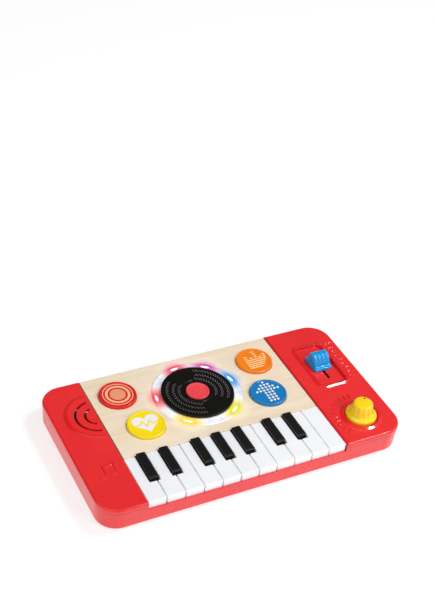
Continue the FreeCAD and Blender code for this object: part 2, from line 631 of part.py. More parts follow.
def make_key(label, plan, top, rear, front, arm_middle, arm_width):
    """A moulded key, hollow below but for the rib that presses its rubber dome, on a rear arm
    that hangs on the hinge rod."""
    key = new_body(label)
    outline = sketch_in(key, top)
    draw_outline(outline, plan)
    pad(key, outline, f"{top} - {KEY_UNDER}", down=True)
    round_edges(key, "key_edge_radius", level_at(top))

    rear_x = f"{rear[0]} + key_skin", f"{rear[1]} - key_skin"
    rib_front = f"{PANEL_FRONT} - plunger_inset - plunger_length/2"
    cavity = sketch_in(key, KEY_UNDER)
    draw_rectangle(cavity, rear_x, (f"{front} + key_skin", rib_front))
    draw_rectangle(cavity, rear_x, (f"{rib_front} + plunger_length",
                                    f"{PANEL_FRONT} - key_back_gap - key_skin"))
    pocket(key, cavity, "key_depth - key_skin", up=True)

    arm_x = centred(arm_middle, arm_width)
    arm_top = f"({DECK_UNDER} - arm_top_gap)"
    arm = sketch_in(key, arm_top)
    draw_rectangle(arm, arm_x, (f"{PANEL_FRONT} - key_back_gap - key_skin", PIVOT_Y))
    pad(key, arm, "arm_height", down=True)
    hub = sketch_in(key, arm_x[0], plane="YZ_Plane")
    draw_circle(hub, (PIVOT_Y, PIVOT_Z), "hub_radius")
    pad(key, hub, arm_width)
    bore = sketch_in(key, f"{arm_x[1]} + 1", plane="YZ_Plane")
    draw_circle(bore, (PIVOT_Y, PIVOT_Z), "rod_radius + rod_clearance")
    pocket(key, bore, f"{arm_width} + 2")
    return key


def white_plan(number, blacks):
    """Outline of a white key seen from above, cut away beside the black keys next to it."""
    left = f"{PANEL_LEFT} + {number - 1}*key_pitch + key_gap/2"
    right = f"{PANEL_LEFT} + {number}*key_pitch - key_gap/2"
    front = f"{RAIL_BACK} + key_front_gap"
    back = f"{PANEL_FRONT} - key_back_gap"
    shoulder = f"{PANEL_FRONT} - black_length - shoulder_gap"
    rear_left, rear_right = left, right
    plan = [(left, front), (right, front)]
    if number in blacks:
        rear_right = f"{blacks[number]} - black_width/2 - black_clearance"
        plan += [(right, shoulder), (rear_right, shoulder)]
    plan += [(rear_right, back)]
    if number - 1 in blacks:
        rear_left = f"{blacks[number - 1]} + black_width/2 + black_clearance"
    plan += [(rear_left, back)]
    if number - 1 in blacks:
        plan += [(rear_left, shoulder), (left, shoulder)]
    return plan, (rear_left, rear_right)


def make_white_key(number, blacks):
    """White key: wide in front of the black keys, narrow between them."""
    plan, rear = white_plan(number, blacks)
    middle = f"(({rear[0]}) + ({rear[1]}))/2"
    shoulder = f"{PANEL_FRONT} - black_length - shoulder_gap"
    key = make_key(f"white_key_{number:02d}", plan, WOOD_TOP, rear, shoulder, middle, "arm_width")
    (left, front), (right, _) = plan[:2]
    cavity = sketch_in(key, KEY_UNDER)
    draw_rectangle(cavity, (f"{left} + key_skin", f"{right} - key_skin"),
                   (f"{front} + key_skin", f"{shoulder} - key_skin"))
    pocket(key, cavity, "key_depth - key_skin", up=True)


def make_black_key(number, middle):
    """Black key: a bevelled bar, proud of the white keys."""
    left, right = centred(middle, "black_width")
    front = f"{PANEL_FRONT} - black_length"
    back = f"{PANEL_FRONT} - key_back_gap"
    plan = [(left, front), (right, front), (right, back), (left, back)]
    top = f"({WOOD_TOP} + black_proud)"
    make_key(f"black_key_{number}", plan, top, (left, right), front, middle, "black_arm_width")


def make_key_bed(blacks):
    """Hinge rod, contact board and the rubber sheet with a dome under each key."""
    rod_left = f"{PANEL_LEFT} + 0.1"
    hinge_rod = lying_rod((rod_left, PIVOT_Y, PIVOT_Z), "rod_radius",
                          f"{PANEL_RIGHT} - 0.1 - ({rod_left})", "x")
    keep(hinge_rod, "key_rod")
    board_y = (f"{RAIL_BACK} + 9", f"{PANEL_FRONT} + 2")
    keep(box((f"{PANEL_LEFT} + 3", f"{PANEL_RIGHT} - 3"), board_y,
             ("key_board_height", KEY_BOARD_TOP)), "key_board")
    middles = [f"({' + '.join(f'({side})' for side in white_plan(n, blacks)[1])})/2"
               for n in range(1, WHITE_KEYS + 1)]
    dome_y = f"{PANEL_FRONT} - plunger_inset"
    sheet_top = f"({KEY_BOARD_TOP} + dome_sheet)"
    strip = [box((f"{PANEL_LEFT} + 5", f"{PANEL_RIGHT} - 5"),
                 (f"{dome_y} - 7", f"{dome_y} + 7"), (KEY_BOARD_TOP, sheet_top))]
    for middle in middles + list(blacks.values()):
        dome = (f"{sheet_top} - dome_sheet/2", f"{sheet_top} + dome_height")
        strip.append(rod((middle, dome_y), "plunger_length/2", dome))
    keep(joined(strip), "key_dome_strip")


# ---------- record, lit ring and buttons ----------

def make_record():
    """Record with its label, spindle and slotted wheel, and the bush that they turn in."""
    under = f"({WOOD_TOP} + ring_proud + record_gap)"
    top = f"({under} + record_thickness)"
    centre = (RECORD_X, RECORD_Y)
    turned("turntable_disc", [("0", under), ("record_radius - 0.5", under),
                              ("record_radius", f"{under} + 0.5"), ("record_radius", f"{top} - 0.6"),
                              ("record_radius - 0.6", top), ("0", top)], centre)
    turned("turntable_label", [("0", top), ("label_radius", top),
                               ("label_radius", f"{top} + label_height - 0.5"),
                               ("label_radius - 0.6", f"{top} + label_height"),
                               ("0", f"{top} + label_height")], centre)
    wheel_under = f"({HIGH_BOARD_TOP} - 1)"
    wheel_top = f"({wheel_under} + wheel_thickness)"
    turned("turntable_spindle", [("0", f"{wheel_under} - 1"), ("spindle_radius", f"{wheel_under} - 1"),
                                 ("spindle_radius", under), ("0", under)], centre)
    disc = rod(centre, "wheel_radius", (wheel_under, wheel_top))
    openings = [rod(centre, "spindle_radius", (f"{wheel_under} - 1", f"{wheel_top} + 1"))]
    for step in range(12):
        spot = (f"{RECORD_X} + 0.8*wheel_radius*cos({30 * step} deg)",
                f"{RECORD_Y} + 0.8*wheel_radius*sin({30 * step} deg)")
        openings.append(rod(spot, "wheel_radius/12", (f"{wheel_under} - 1", f"{wheel_top} + 1")))
    keep(without(disc, openings), "encoder_wheel")
    inner = "spindle_radius + spindle_clearance"
    turned("turntable_bearing", [(inner, f"{wheel_top} + 1"), ("bush_radius", f"{wheel_top} + 1"),
                                 ("bush_radius", f"{DECK_UNDER} - 1.6"),
                                 ("bush_radius + 3", f"{DECK_UNDER} - 1.6"),
                                 ("bush_radius + 3", DECK_UNDER), ("bush_radius", DECK_UNDER),
                                 ("bush_radius", f"{DECK_TOP} + 1"), (inner, f"{DECK_TOP} + 1")], centre)


def make_lit_ring():
    """Translucent ring round the record, with six lamps on a ring-shaped board below the deck."""
    centre = (RECORD_X, RECORD_Y)
    ring_top = f"({WOOD_TOP} + ring_proud)"
    turned("light_ring", [("ring_inner", DECK_TOP), ("ring_radius", DECK_TOP),
                          ("ring_radius", f"{ring_top} - 0.6"), ("ring_radius - 0.6", ring_top),
                          ("ring_inner", ring_top)], centre)
    board_under = f"({DECK_UNDER} - board_thickness)"
    board = rod(centre, "lamp_board_outer", (board_under, DECK_UNDER))
    hole = rod(centre, "lamp_board_inner", (f"{board_under} - 1", f"{DECK_UNDER} + 1"))
    keep(without(board, [hole]), "lamp_board")
    lamps = [rod(lamp_place(angle), "lamp_radius", (DECK_UNDER, f"{DECK_TOP} - 0.2"))
             for angle in LAMP_ANGLES]
    keep(together(lamps), "lamps")


def make_buttons():
    """Four push buttons held in by their flanges, with rubber domes and boards below."""
    top = f"({WOOD_TOP} + button_proud)"
    flange_top = f"({DECK_UNDER} - flange_drop)"
    flange_under = f"({flange_top} - flange_height)"
    foot = f"({top} - button_reach)"
    skin = "button_skin"
    for label, centre in BUTTONS.items():
        turned(label, [("0", foot), ("plunger_radius", foot), ("plunger_radius", f"{top} - {skin}"),
                       (f"button_radius - {skin}", f"{top} - {skin}"),
                       (f"button_radius - {skin}", flange_under),
                       ("button_radius + flange_width", flange_under),
                       ("button_radius + flange_width", flange_top), ("button_radius", flange_top),
                       ("button_radius", f"{top} - 1"), ("button_radius - 1", top), ("0", top)], centre)
    dome_top = f"({foot} - button_travel - dome_gap)"
    domes = [rod(centre, "plunger_radius", (HIGH_BOARD_TOP, dome_top)) for centre in BUTTONS.values()]
    keep(together(domes), "button_domes")
    board_y = (f"{RECORD_Y} - inner_button_y - 14", f"{RECORD_Y} + outer_button_y + 14")
    for label, side in (("left_button_board", "-"), ("right_button_board", "+")):
        middle = f"{RECORD_X} {side} (outer_button_x + inner_button_x)/2"
        keep(box(centred(middle, "2.2*button_radius"), board_y, ("high_board", HIGH_BOARD_TOP)), label)


# ---------- boards ----------

def make_boards():
    """Main board with its chips, and the board under the fader and the knob."""
    board_top = "(low_board + board_thickness)"
    keep(box(centred(RECORD_X, "main_board_width"), (f"{RECORD_Y} - 32", f"{RECORD_Y} + 40"),
             ("low_board", board_top)), "main_board")
    chips = []
    for x, y, width, length, height in ((-24, -20, 16, 16, 1.4), (22, -20, 10, 8, 1.2),
                                        (-26, 26, 9, 14, 2.0), (0, 0, 8, 6, 1.0), (26, 26, 6, 6, 4.0)):
        chips.append(box(centred(f"{RECORD_X} + {x}", width), centred(f"{RECORD_Y} + {y}", length),
                         (board_top, f"{board_top} + {height}")))
    keep(together(chips), "main_chips")
    keep(box(centred(CONTROL_X, "control_board_width"), (f"{KNOB_Y} - 10", f"{FADER_Y} + fader_bay_length/2 + 1"),
             ("high_board", HIGH_BOARD_TOP)), "control_board")


# ---------- fader ----------

def make_fader():
    """Blue cap on a steel lever that slides in a long potentiometer."""
    body_top = f"({BAY_FLOOR} - wall/2 - 0.8)"
    slot_under = f"({HIGH_BOARD_TOP} + 3)"
    block = box(centred(CONTROL_X, "fader_body_width"), centred(FADER_Y, "fader_bay_length"),
                (HIGH_BOARD_TOP, body_top))
    slot = box(centred(CONTROL_X, "lever_width + 2*lever_clearance"),
               centred(FADER_Y, "fader_travel + lever_length + 2*lever_clearance"),
               (slot_under, f"{body_top} + 1"))
    keep(without(block, [slot]), "fader_body")

    rest_y = f"({FADER_Y} + fader_rest)"
    under = f"({BAY_FLOOR} + fader_hover)"
    lever_top = f"({under} + fader_height/2)"
    keep(box(centred(CONTROL_X, "lever_width"), centred(rest_y, "lever_length"),
             (f"{slot_under} + 0.5", lever_top)), "fader_lever")

    cap = new_body("fader_cap")
    side = sketch_in(cap, f"{CONTROL_X} - fader_width/2", plane="YZ_Plane")
    base_top = f"{under} + fader_base_height"
    front = f"{rest_y} - fader_length/2"
    back = f"{rest_y} + fader_length/2"
    draw_outline(side, [(front, under), (back, under), (back, base_top),
                        (f"{back} - fader_grip_back + 1", base_top),
                        (f"{back} - fader_grip_back - 0.5", f"{under} + fader_height"),
                        (f"{front} + fader_grip_front + 4", f"{under} + fader_height"),
                        (f"{front} + fader_grip_front", base_top), (front, base_top)])
    pad(cap, side, "fader_width")
    socket = sketch_in(cap, under)
    draw_rectangle(socket, centred(CONTROL_X, "lever_width + 0.1"),
                   centred(rest_y, "lever_length + 0.1"))
    pocket(cap, socket, "fader_height/2", up=True)


# ---------- knob ----------

def make_knob():
    """Flared knob with a fluted grip, on the shaft of a rotary potentiometer."""
    centre = (CONTROL_X, KNOB_Y)
    under = f"({KNOB_FLOOR} + knob_hover)"
    top = f"({CAP_TOP} + knob_height - 0.5)"
    neck = f"({under} + knob_neck_height)"
    shaft_top = f"({top} - 4)"
    knob = turned("knob", [("0", shaft_top), ("shaft_radius", shaft_top), ("shaft_radius", under),
                           ("knob_skirt_radius", under),
                           ("knob_skirt_radius", f"{under} + knob_skirt_height"),
                           ("knob_skirt_radius - 2.2", f"{under} + knob_skirt_height + 2"),
                           ("knob_grip_radius", neck), ("knob_grip_radius", f"{top} - 0.8"),
                           ("knob_grip_radius - 0.8", top), ("0", top)], centre)
    doc.recompute()
    flute = knob.newObject("Sketcher::SketchObject", "sketch")
    flute.AttachmentSupport = [(next(f for f in knob.Origin.OriginFeatures if f.Role == "XY_Plane"), "")]
    flute.MapMode = "FlatFace"
    bind(flute, ".AttachmentOffset.Base.z", f"{top} + 1")
    draw_circle(flute, ("knob_grip_radius + flute_radius/2", "0"), "flute_radius")
    groove = pocket(knob, flute, f"{top} + 1 - {neck}")
    ring = knob.newObject("PartDesign::PolarPattern", "flutes")
    ring.Originals = [groove]
    ring.Axis = (flute, ["N_Axis"])
    ring.Angle = 360
    ring.Occurrences = 18
    knob.Tip = ring
    keep(rod(centre, "shaft_radius", (f"{HIGH_BOARD_TOP} + 1", shaft_top)), "knob_shaft")
    case_top = f"({HIGH_BOARD_TOP} + 7)"
    bore = "shaft_radius + spindle_clearance"
    turned("potentiometer", [("0", HIGH_BOARD_TOP), ("8.5", HIGH_BOARD_TOP), ("8.5", case_top),
                             ("3.9", case_top), ("3.9", f"{KNOB_FLOOR} - 1"),
                             (bore, f"{KNOB_FLOOR} - 1"), (bore, f"{HIGH_BOARD_TOP} + 0.8"),
                             ("0", f"{HIGH_BOARD_TOP} + 0.8")], centre)


# ---------- loudspeaker ----------

def make_speaker():
    """Basket, paper cone and magnet of a small loudspeaker under the left cap."""
    centre = (SPEAKER_X, SPEAKER_Y)
    lip = f"({CAP_UNDER} - 1.2)"
    neck = f"({CAP_UNDER} - 9.5)"
    turned("speaker_frame", [("magnet_radius - 4", neck), ("magnet_radius + 1", neck),
                             ("speaker_radius - 1.5", f"{lip} - 1.4"), ("speaker_radius", lip),
                             ("speaker_radius", CAP_UNDER), ("speaker_radius - 2.4", CAP_UNDER),
                             ("speaker_radius - 2.4", lip), ("magnet_radius", f"{neck} + 1.2"),
                             ("magnet_radius - 4", f"{neck} + 1.2")], centre)
    turned("speaker_cone", [("0", f"{neck} + 3"), ("4.5", f"{neck} + 3"),
                            ("speaker_radius - 3.4", f"{lip} + 0.2"),
                            ("speaker_radius - 2.6", f"{lip} + 0.2"),
                            ("speaker_radius - 2.6", f"{lip} + 0.8"),
                            ("speaker_radius - 3.6", f"{lip} + 0.8"),
                            ("4.2", f"{neck} + 3.6"), ("0", f"{neck} + 3.6")], centre)
    keep(rod(centre, "magnet_radius", (f"{neck} - 5.5", neck)), "speaker_magnet")


# ---------- batteries, switch, feet and screws ----------

def make_battery_parts():
    """Three small cells between contacts, behind a screwed door."""
    door_top = f"({FLOOR} + door_thickness)"
    ear_end = f"{BATTERY_Y} + bay_length/2 + ear_length - door_gap"
    plate = box(centred(BATTERY_X, "bay_width - 2*door_gap"),
                centred(BATTERY_Y, "bay_length - 2*door_gap"), (FLOOR, door_top))
    ear = box(centred(BATTERY_X, "ear_width - 2*door_gap"),
              (f"{BATTERY_Y} + bay_length/2 - 2", ear_end), (FLOOR, f"{FLOOR} + ear_thickness"))
    screw_hole = rod(door_screw_place(), "screw_hole", (f"{FLOOR} - 1", f"{door_top} + 1"))
    keep(without(joined([plate, ear]), [screw_hole]), "battery_door")
    head = rod(door_screw_place(), "head_radius", (f"{FLOOR} - 0.7", FLOOR))
    shank = rod(door_screw_place(), "screw_radius", (f"{FLOOR} - 0.1", f"{FLOOR} + 6"))
    keep(joined([head, shank]), "battery_door_screw")

    cells, contacts = [], []
    for place in (-1, 0, 1):
        x = f"{BATTERY_X} + {place}*cell_pitch"
        start = f"{BATTERY_Y} - cell_length/2"
        cells.append(joined([
            lying_rod((x, start, CELL_Z), "cell_radius", "cell_length - 1", "y"),
            lying_rod((x, f"{start} + cell_length - 1.2", CELL_Z), "cell_radius/3", "1.2", "y")]))
        for side in (-1, 1):
            wall_y = f"{BATTERY_Y} + {side}*(bay_length/2 - contact_thickness/2)"
            plate = box(centred(x, "contact_width"), centred(wall_y, "contact_thickness"),
                        centred(CELL_Z, "contact_height"))
            low = wall_y if side < 0 else f"{BATTERY_Y} + cell_length/2"
            reach = "(bay_length - contact_thickness - cell_length)/2"
            contacts.append(joined([plate, lying_rod((x, low, CELL_Z), "cell_radius/2.5", reach, "y")]))
    keep(together(cells), "batteries")
    keep(together(contacts), "battery_contacts")


def make_power_switch():
    """Small slide switch whose lever shows in a slot of the back wall."""
    middle = f"({RIGHT} - switch_inset)"
    wall_inside = f"({BACK} - seam_step - 2*wall)"
    case_x = centred(middle, "switch_slot + 6")
    case = box(case_x, (f"{wall_inside} - 8", f"{wall_inside} + 0.6"), centred("switch_z", "8"))
    channel = box(centred(middle, "switch_slot"), (f"{wall_inside} - 3", f"{wall_inside} + 2"),
                  centred("switch_z", "switch_height"))
    keep(without(case, [channel]), "power_switch_case")
    rest_x = f"{middle} - switch_travel/2"
    keep(box(centred(rest_x, "switch_lever"), (f"{wall_inside} - 2.6", f"{BACK} - 0.9"),
             centred("switch_z", "switch_height - 0.8")), "power_switch_lever")


def make_fasteners():
    """Rubber feet and the eight screws that hold the two shells together."""
    keep(together([rod(spot, "foot_radius", ("0", f"{FLOOR} + foot_sink")) for spot in FEET]),
         "rubber_feet")
    head_under = f"({FLOOR} + head_well - head_height)"
    screws = []
    for spot in CORNER_BOSSES + DECK_BOSSES:
        head = rod(spot, "head_radius", (head_under, f"{FLOOR} + head_well"))
        shank = rod(spot, "screw_radius", (f"{FLOOR} + head_well - 0.5", f"{DECK_UNDER} - 1"))
        screws.append(joined([head, shank]))
    keep(together(screws), "case_screws")


black_middles = black_places()
make_base_shell()
make_top_cover()
make_wood_panel()
for white in range(1, WHITE_KEYS + 1):
    make_white_key(white, black_middles)
for black, middle_line in enumerate(black_middles.values(), start=1):
    make_black_key(black, middle_line)
make_key_bed(black_middles)
make_record()
make_lit_ring()
make_buttons()
make_boards()
make_fader()
make_knob()
make_speaker()
make_battery_parts()
make_power_switch()
make_fasteners()
doc.recompute()

for thing in doc.Objects:
    if {"Invalid", "Error"} & set(thing.State):
        raise ValueError(f"{thing.Name} ({thing.Label}) did not rebuild: {thing.State}")
os.makedirs("parts", exist_ok=True)
for part in pieces:
    shape = part.Shape
    if shape.isNull() or not shape.isValid() or not shape.Solids:
        raise ValueError(f"{part.Label} has no valid solid")
    shape.exportStep(f"parts/{part.Label}.step")
    print(f"{part.Label}: {len(shape.Solids)} solid(s), {shape.Volume / 1000:.2f} cm3")
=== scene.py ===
import math

import bpy
import numpy as np
from mathutils import Matrix, Vector


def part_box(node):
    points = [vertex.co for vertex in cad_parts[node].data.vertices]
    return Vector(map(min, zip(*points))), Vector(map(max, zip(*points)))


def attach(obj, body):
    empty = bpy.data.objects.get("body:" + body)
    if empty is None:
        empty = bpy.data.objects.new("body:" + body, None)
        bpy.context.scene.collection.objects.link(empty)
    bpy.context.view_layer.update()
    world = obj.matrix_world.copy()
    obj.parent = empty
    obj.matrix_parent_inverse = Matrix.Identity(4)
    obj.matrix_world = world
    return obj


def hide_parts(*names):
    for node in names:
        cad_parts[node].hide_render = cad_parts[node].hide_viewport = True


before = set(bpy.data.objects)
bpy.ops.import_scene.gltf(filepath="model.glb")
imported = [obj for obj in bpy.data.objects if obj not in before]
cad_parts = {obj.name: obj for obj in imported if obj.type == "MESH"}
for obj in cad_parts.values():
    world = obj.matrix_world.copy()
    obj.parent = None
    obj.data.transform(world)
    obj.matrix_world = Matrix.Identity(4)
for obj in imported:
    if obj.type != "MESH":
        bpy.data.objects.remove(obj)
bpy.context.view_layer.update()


# ================================================================ case
# Base shell, top cover and battery door: injection mouldings in red ABS, screwed together from
# below. The steel mould is spark-finished, so flat faces are satin, and rims are a little glossier.

MM = 0.001


def linear(shade):
    """sRGB hex to linear: ((c + 0.055) / 1.055) ^ 2.4, or c / 12.92 near black."""
    levels = [int(shade[i:i + 2], 16) / 255 for i in (0, 2, 4)]
    return (*(c / 12.92 if c <= 0.04045 else ((c + 0.055) / 1.055) ** 2.4 for c in levels), 1.0)


def add(tree, kind, inputs=(), **settings):
    """Add one shader node with its settings, and give each input a value or another's output."""
    made = tree.nodes.new("ShaderNode" + kind)
    for key, value in settings.items():
        setattr(made, key, value)
    for key, value in dict(inputs).items():
        if isinstance(value, bpy.types.NodeSocket):
            tree.links.new(value, made.inputs[key])
        else:
            made.inputs[key].default_value = value
    return made


def moulded_plastic(name, shade, deep, roughness, texture_mm, relief_mm, sockets=()):
    """Moulded plastic: the pigment drifts slowly between two tones, the polish varies over
    finger-sized patches, and the mould's own texture is a fine bump."""
    material = bpy.data.materials.new(name)
    material.use_nodes = True
    tree = material.node_tree
    shader = tree.nodes["Principled BSDF"]
    place = add(tree, "TexCoord").outputs["Object"]
    drift = add(tree, "TexNoise", {"Vector": place, "Scale": 1 / (45 * MM), "Detail": 3.0})
    tone = add(tree, "MapRange", {"Value": drift.outputs["Fac"], "From Min": 0.35, "From Max": 0.65})
    colour = add(tree, "MixRGB", {"Fac": tone.outputs["Result"], "Color1": linear(deep),
                                  "Color2": linear(shade)})
    tree.links.new(colour.outputs["Color"], shader.inputs["Base Color"])
    patches = add(tree, "TexNoise", {"Vector": place, "Scale": 1 / (12 * MM), "Detail": 4.0})
    polish = add(tree, "MapRange", {"Value": patches.outputs["Fac"], "From Min": 0.3,
                                    "From Max": 0.7, "To Min": 0.85 * roughness,
                                    "To Max": 1.15 * roughness})
    tree.links.new(polish.outputs["Result"], shader.inputs["Roughness"])
    texture = add(tree, "TexNoise", {"Vector": place, "Scale": 1 / (texture_mm * MM),
                                     "Detail": 2.0})
    relief = add(tree, "Bump", {"Height": texture.outputs["Fac"], "Strength": 1.0,
                                "Distance": relief_mm * MM})
    tree.links.new(relief.outputs["Normal"], shader.inputs["Normal"])
    for key, value in dict(sockets).items():
        shader.inputs[key].default_value = value
    return material


def coat_nodes(material, *names):
    """Give CAD nodes one material."""
    for name in names:
        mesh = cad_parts[name].data
        mesh.materials.clear()
        mesh.materials.append(material)


# Satin ABS: wide soft highlights, and a grain of 2.5 mm, coarser than a real spark finish, barely seen.
red_abs = moulded_plastic("red_abs_spark_finished", "EE2628", "EA2024", 0.3, 2.5, 0.0015,
                          {"IOR": 1.53, "Coat Weight": 0.35, "Coat Roughness": 0.08})
tree = red_abs.node_tree
shader = tree.nodes["Principled BSDF"]
plain = shader.inputs["Base Color"].links[0].from_socket
place = add(tree, "SeparateXYZ", {"Vector": add(tree, "TexCoord").outputs["Object"]})
# The seam between cover and base, 5 mm under the top, keeps a thin dark line of shadow.
from_seam = add(tree, "Math", {0: place.outputs["Z"], 1: 21.0 * MM}, operation="SUBTRACT")
near_seam = add(tree, "MapRange", {"Value": add(tree, "Math", {0: from_seam.outputs["Value"]},
                                                operation="ABSOLUTE").outputs["Value"],
                                   "From Min": 0.55 * MM, "From Max": 0.3 * MM})
facing = add(tree, "SeparateXYZ", {"Vector": add(tree, "NewGeometry").outputs["Normal"]})
upright = add(tree, "MapRange", {"Value": add(tree, "Math", {0: facing.outputs["Z"]},
                                              operation="ABSOLUTE").outputs["Value"],
                                 "From Min": 0.5, "From Max": 0.2, "To Max": 0.9})
seam = add(tree, "Math", {0: near_seam.outputs["Result"], 1: upright.outputs["Result"]},
           operation="MULTIPLY")
# Painted shade: the rounded top edges are painted a purer, deeper red for the dark studio they mirror.
near_level = add(tree, "MapRange", {"Value": facing.outputs["Z"], "From Min": 0.985,
                                    "From Max": 0.93})
near_upright = add(tree, "MapRange", {"Value": facing.outputs["Z"], "From Min": 0.25,
                                      "From Max": 0.5, "To Max": 0.85})
edge = add(tree, "Math", {0: near_level.outputs["Result"], 1: near_upright.outputs["Result"]},
           operation="MULTIPLY")
# Painted shade: sloped faces are mixed towards a deeper red.
shaded_edges = add(tree, "MixRGB", {"Fac": edge.outputs["Value"], "Color1": plain,
                             "Color2": linear("E40014")})
lined = add(tree, "MixRGB", {"Fac": seam.outputs["Value"], "Color1": shaded_edges.outputs["Color"],
                             "Color2": linear("7E0A10")})
tree.links.new(lined.outputs["Color"], shader.inputs["Base Color"])
coat_nodes(red_abs, "base_shell", "top_cover", "battery_door")


# ================================================================ embossed note
# A music note raised on the left cap, part of the same red moulding. Its lines are 1 mm wide
# and stand 0.5 mm proud, so that only their edges catch the light.

def rounded(corners, radius, steps=5, closed=True):
    """Points and outward normals of an outline with arcs for corners. An arc starts
    radius * tan(turn / 2) before its corner and turns about a centre one radius to its side."""
    corners = np.asarray(corners, float)
    before = corners - np.roll(corners, 1, 0)
    after = np.roll(corners, -1, 0) - corners
    before /= np.linalg.norm(before, axis=1)[:, None]
    after /= np.linalg.norm(after, axis=1)[:, None]
    turn = np.arctan2(before[:, 0] * after[:, 1] - before[:, 1] * after[:, 0],
                      (before * after).sum(1))
    side = np.sign(turn)[:, None]
    reach = np.broadcast_to(np.asarray(radius, float), turn.shape)
    spoke = -np.stack([-before[:, 1], before[:, 0]], 1) * side
    centre = corners - before * (reach * np.tan(np.abs(turn) / 2))[:, None] - spoke * reach[:, None]
    angle = np.linspace(0, 1, steps)[None] * turn[:, None]
    cos, sin = np.cos(angle), np.sin(angle)
    spokes = np.stack([cos * spoke[:, :1] - sin * spoke[:, 1:],
                       sin * spoke[:, :1] + cos * spoke[:, 1:]], -1)
    points = centre[:, None] + spokes * reach[:, None, None]
    normals = spokes * side[:, None]
    if closed:
        return points.reshape(-1, 2), normals.reshape(-1, 2)
    ends = corners[:1], points[1:-1].reshape(-1, 2), corners[-1:]
    return np.concatenate(ends), None


def slab(outline, low, high, edge, steps=4):
    """Rings of a moulded plate: upright walls, then a quarter round on the top edge, where the
    inset is edge * (1 - cos a) and the height is high - edge + edge * sin a."""
    points, normals = outline
    turn = np.linspace(0, np.pi / 2, steps + 1)
    inset = np.concatenate([[0], edge * (1 - np.cos(turn)), [edge * 1.1]])
    height = np.concatenate([[low], high - edge + edge * np.sin(turn), [high]])
    rings = points[None] - normals[None] * inset[:, None, None]
    heights = np.broadcast_to(height[:, None, None], (*rings.shape[:2], 1))
    return np.concatenate([rings, heights], 2)


def solid(name, stacks, material, body, nodes=(), sharp=32):
    """One mesh of closed solids, in mm. Each is a stack of rings of points, anticlockwise from
    the way they stack: quads join them, and both ends are filled, unless the last ring is the
    first again and the stack closes on itself."""
    points, faces, first = [], [], 0
    for rings in stacks:
        looped = np.allclose(rings[0], rings[-1])
        rings = rings[:-1] if looped else rings
        index = first + np.arange(rings.shape[0] * rings.shape[1]).reshape(rings.shape[:2])
        low, high = (index, np.roll(index, -1, 0)) if looped else (index[:-1], index[1:])
        quads = np.stack([low, np.roll(low, -1, 1), np.roll(high, -1, 1), high], -1)
        faces += quads.reshape(-1, 4).tolist()
        if not looped:
            faces += [index[0, ::-1].tolist(), index[-1].tolist()]
        points.append(rings.reshape(-1, 3))
        first += index.size
    mesh = bpy.data.meshes.new(name)
    mesh.from_pydata(np.concatenate(points) * MM, [], faces)
    mesh.shade_smooth()
    mesh.set_sharp_from_angle(angle=math.radians(sharp))
    mesh.materials.append(material)
    piece = bpy.data.objects.new(name, mesh)
    bpy.context.collection.objects.link(piece)
    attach(piece, body)
    if nodes:
        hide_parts(*nodes)
    return piece


def corner_box(node):
    """A CAD node's lowest and highest corner in mm."""
    return (np.array(corner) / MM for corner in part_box(node))


# The caps' faces lie 1 mm under the crests of the borders, which are the cover's highest points.
cap_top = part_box("top_cover")[1][2] / MM - 1.0
note_x, note_y = -136.5, -37.0


def ellipse(centre, across, tall, tilt, around=24):
    """Outline and normals of an ellipse turned by tilt: centre + R (a cos t, b sin t)."""
    t = np.linspace(0, 2 * np.pi, around, endpoint=False)
    turn = np.array([[math.cos(tilt), math.sin(tilt)], [-math.sin(tilt), math.cos(tilt)]])
    points = np.stack([across * np.cos(t), tall * np.sin(t)], 1) @ turn
    normals = np.stack([np.cos(t) / across, np.sin(t) / tall], 1) @ turn
    return points + centre, normals / np.linalg.norm(normals, axis=1)[:, None]


note_parts = [ellipse((note_x - 5.0, note_y - 6.0), 3.4, 2.4, 0.4),
              ellipse((note_x + 5.4, note_y - 4.0), 3.4, 2.4, 0.4)]
for stem_x, stem_y in ((-2.4, -5.0), (8.0, -3.0)):
    left, low = note_x + stem_x, note_y + stem_y
    note_parts.append(rounded([(left, low), (left + 1.1, low), (left + 1.1, low + 12.0),
                               (left, low + 12.0)], 0.3, 3))
beam_left, beam_low = note_x - 2.4, note_y + 4.8
note_parts.append(rounded([(beam_left, beam_low), (beam_left + 11.5, beam_low + 2.0),
                           (beam_left + 11.5, beam_low + 5.0), (beam_left, beam_low + 3.0)],
                          0.3, 3))
solid("embossed_note", [slab(part, cap_top - 0.3, cap_top + 0.5, 0.35) for part in note_parts],
      red_abs, "case")


# ================================================================ mouldings of the top
# Raised borders round the fader's bay, the knob's well and the loudspeaker's slots, part of the
# same moulding. Each has a flat crest and a long slope outwards, which catches the strip light.

# Offset from the opening, and height over the cap, round the section.
border_section = np.array([(0, -0.3), (4.4, -0.3), (4.4, 0), (4.1, 0.1), (1.9, 1.0), (1.5, 1.08),
                           (0.8, 1.08), (0.3, 1.0), (0, 0.75), (0, -0.3)]) + (0, cap_top)


def border(outline):
    """Rings of a border: the outline, moved along its normals by each offset of the section."""
    points, normals = outline
    return np.stack([np.column_stack([points + normals * offset, np.full(len(points), height)])
                     for offset, height in border_section])


knob_low, knob_high = corner_box("knob")
control_x, dial_y = (knob_low[:2] + knob_high[:2]) / 2
fader_y = 25.5
bay_half_width, bay_half_length, well_radius = 15.0, 30.0, 16.9
bay = rounded([(control_x - bay_half_width, fader_y - bay_half_length),
               (control_x + bay_half_width, fader_y - bay_half_length),
               (control_x + bay_half_width, fader_y + bay_half_length),
               (control_x - bay_half_width, fader_y + bay_half_length)], 5.0, 14)
well = ellipse((control_x, dial_y), well_radius, well_radius, 0, 128)
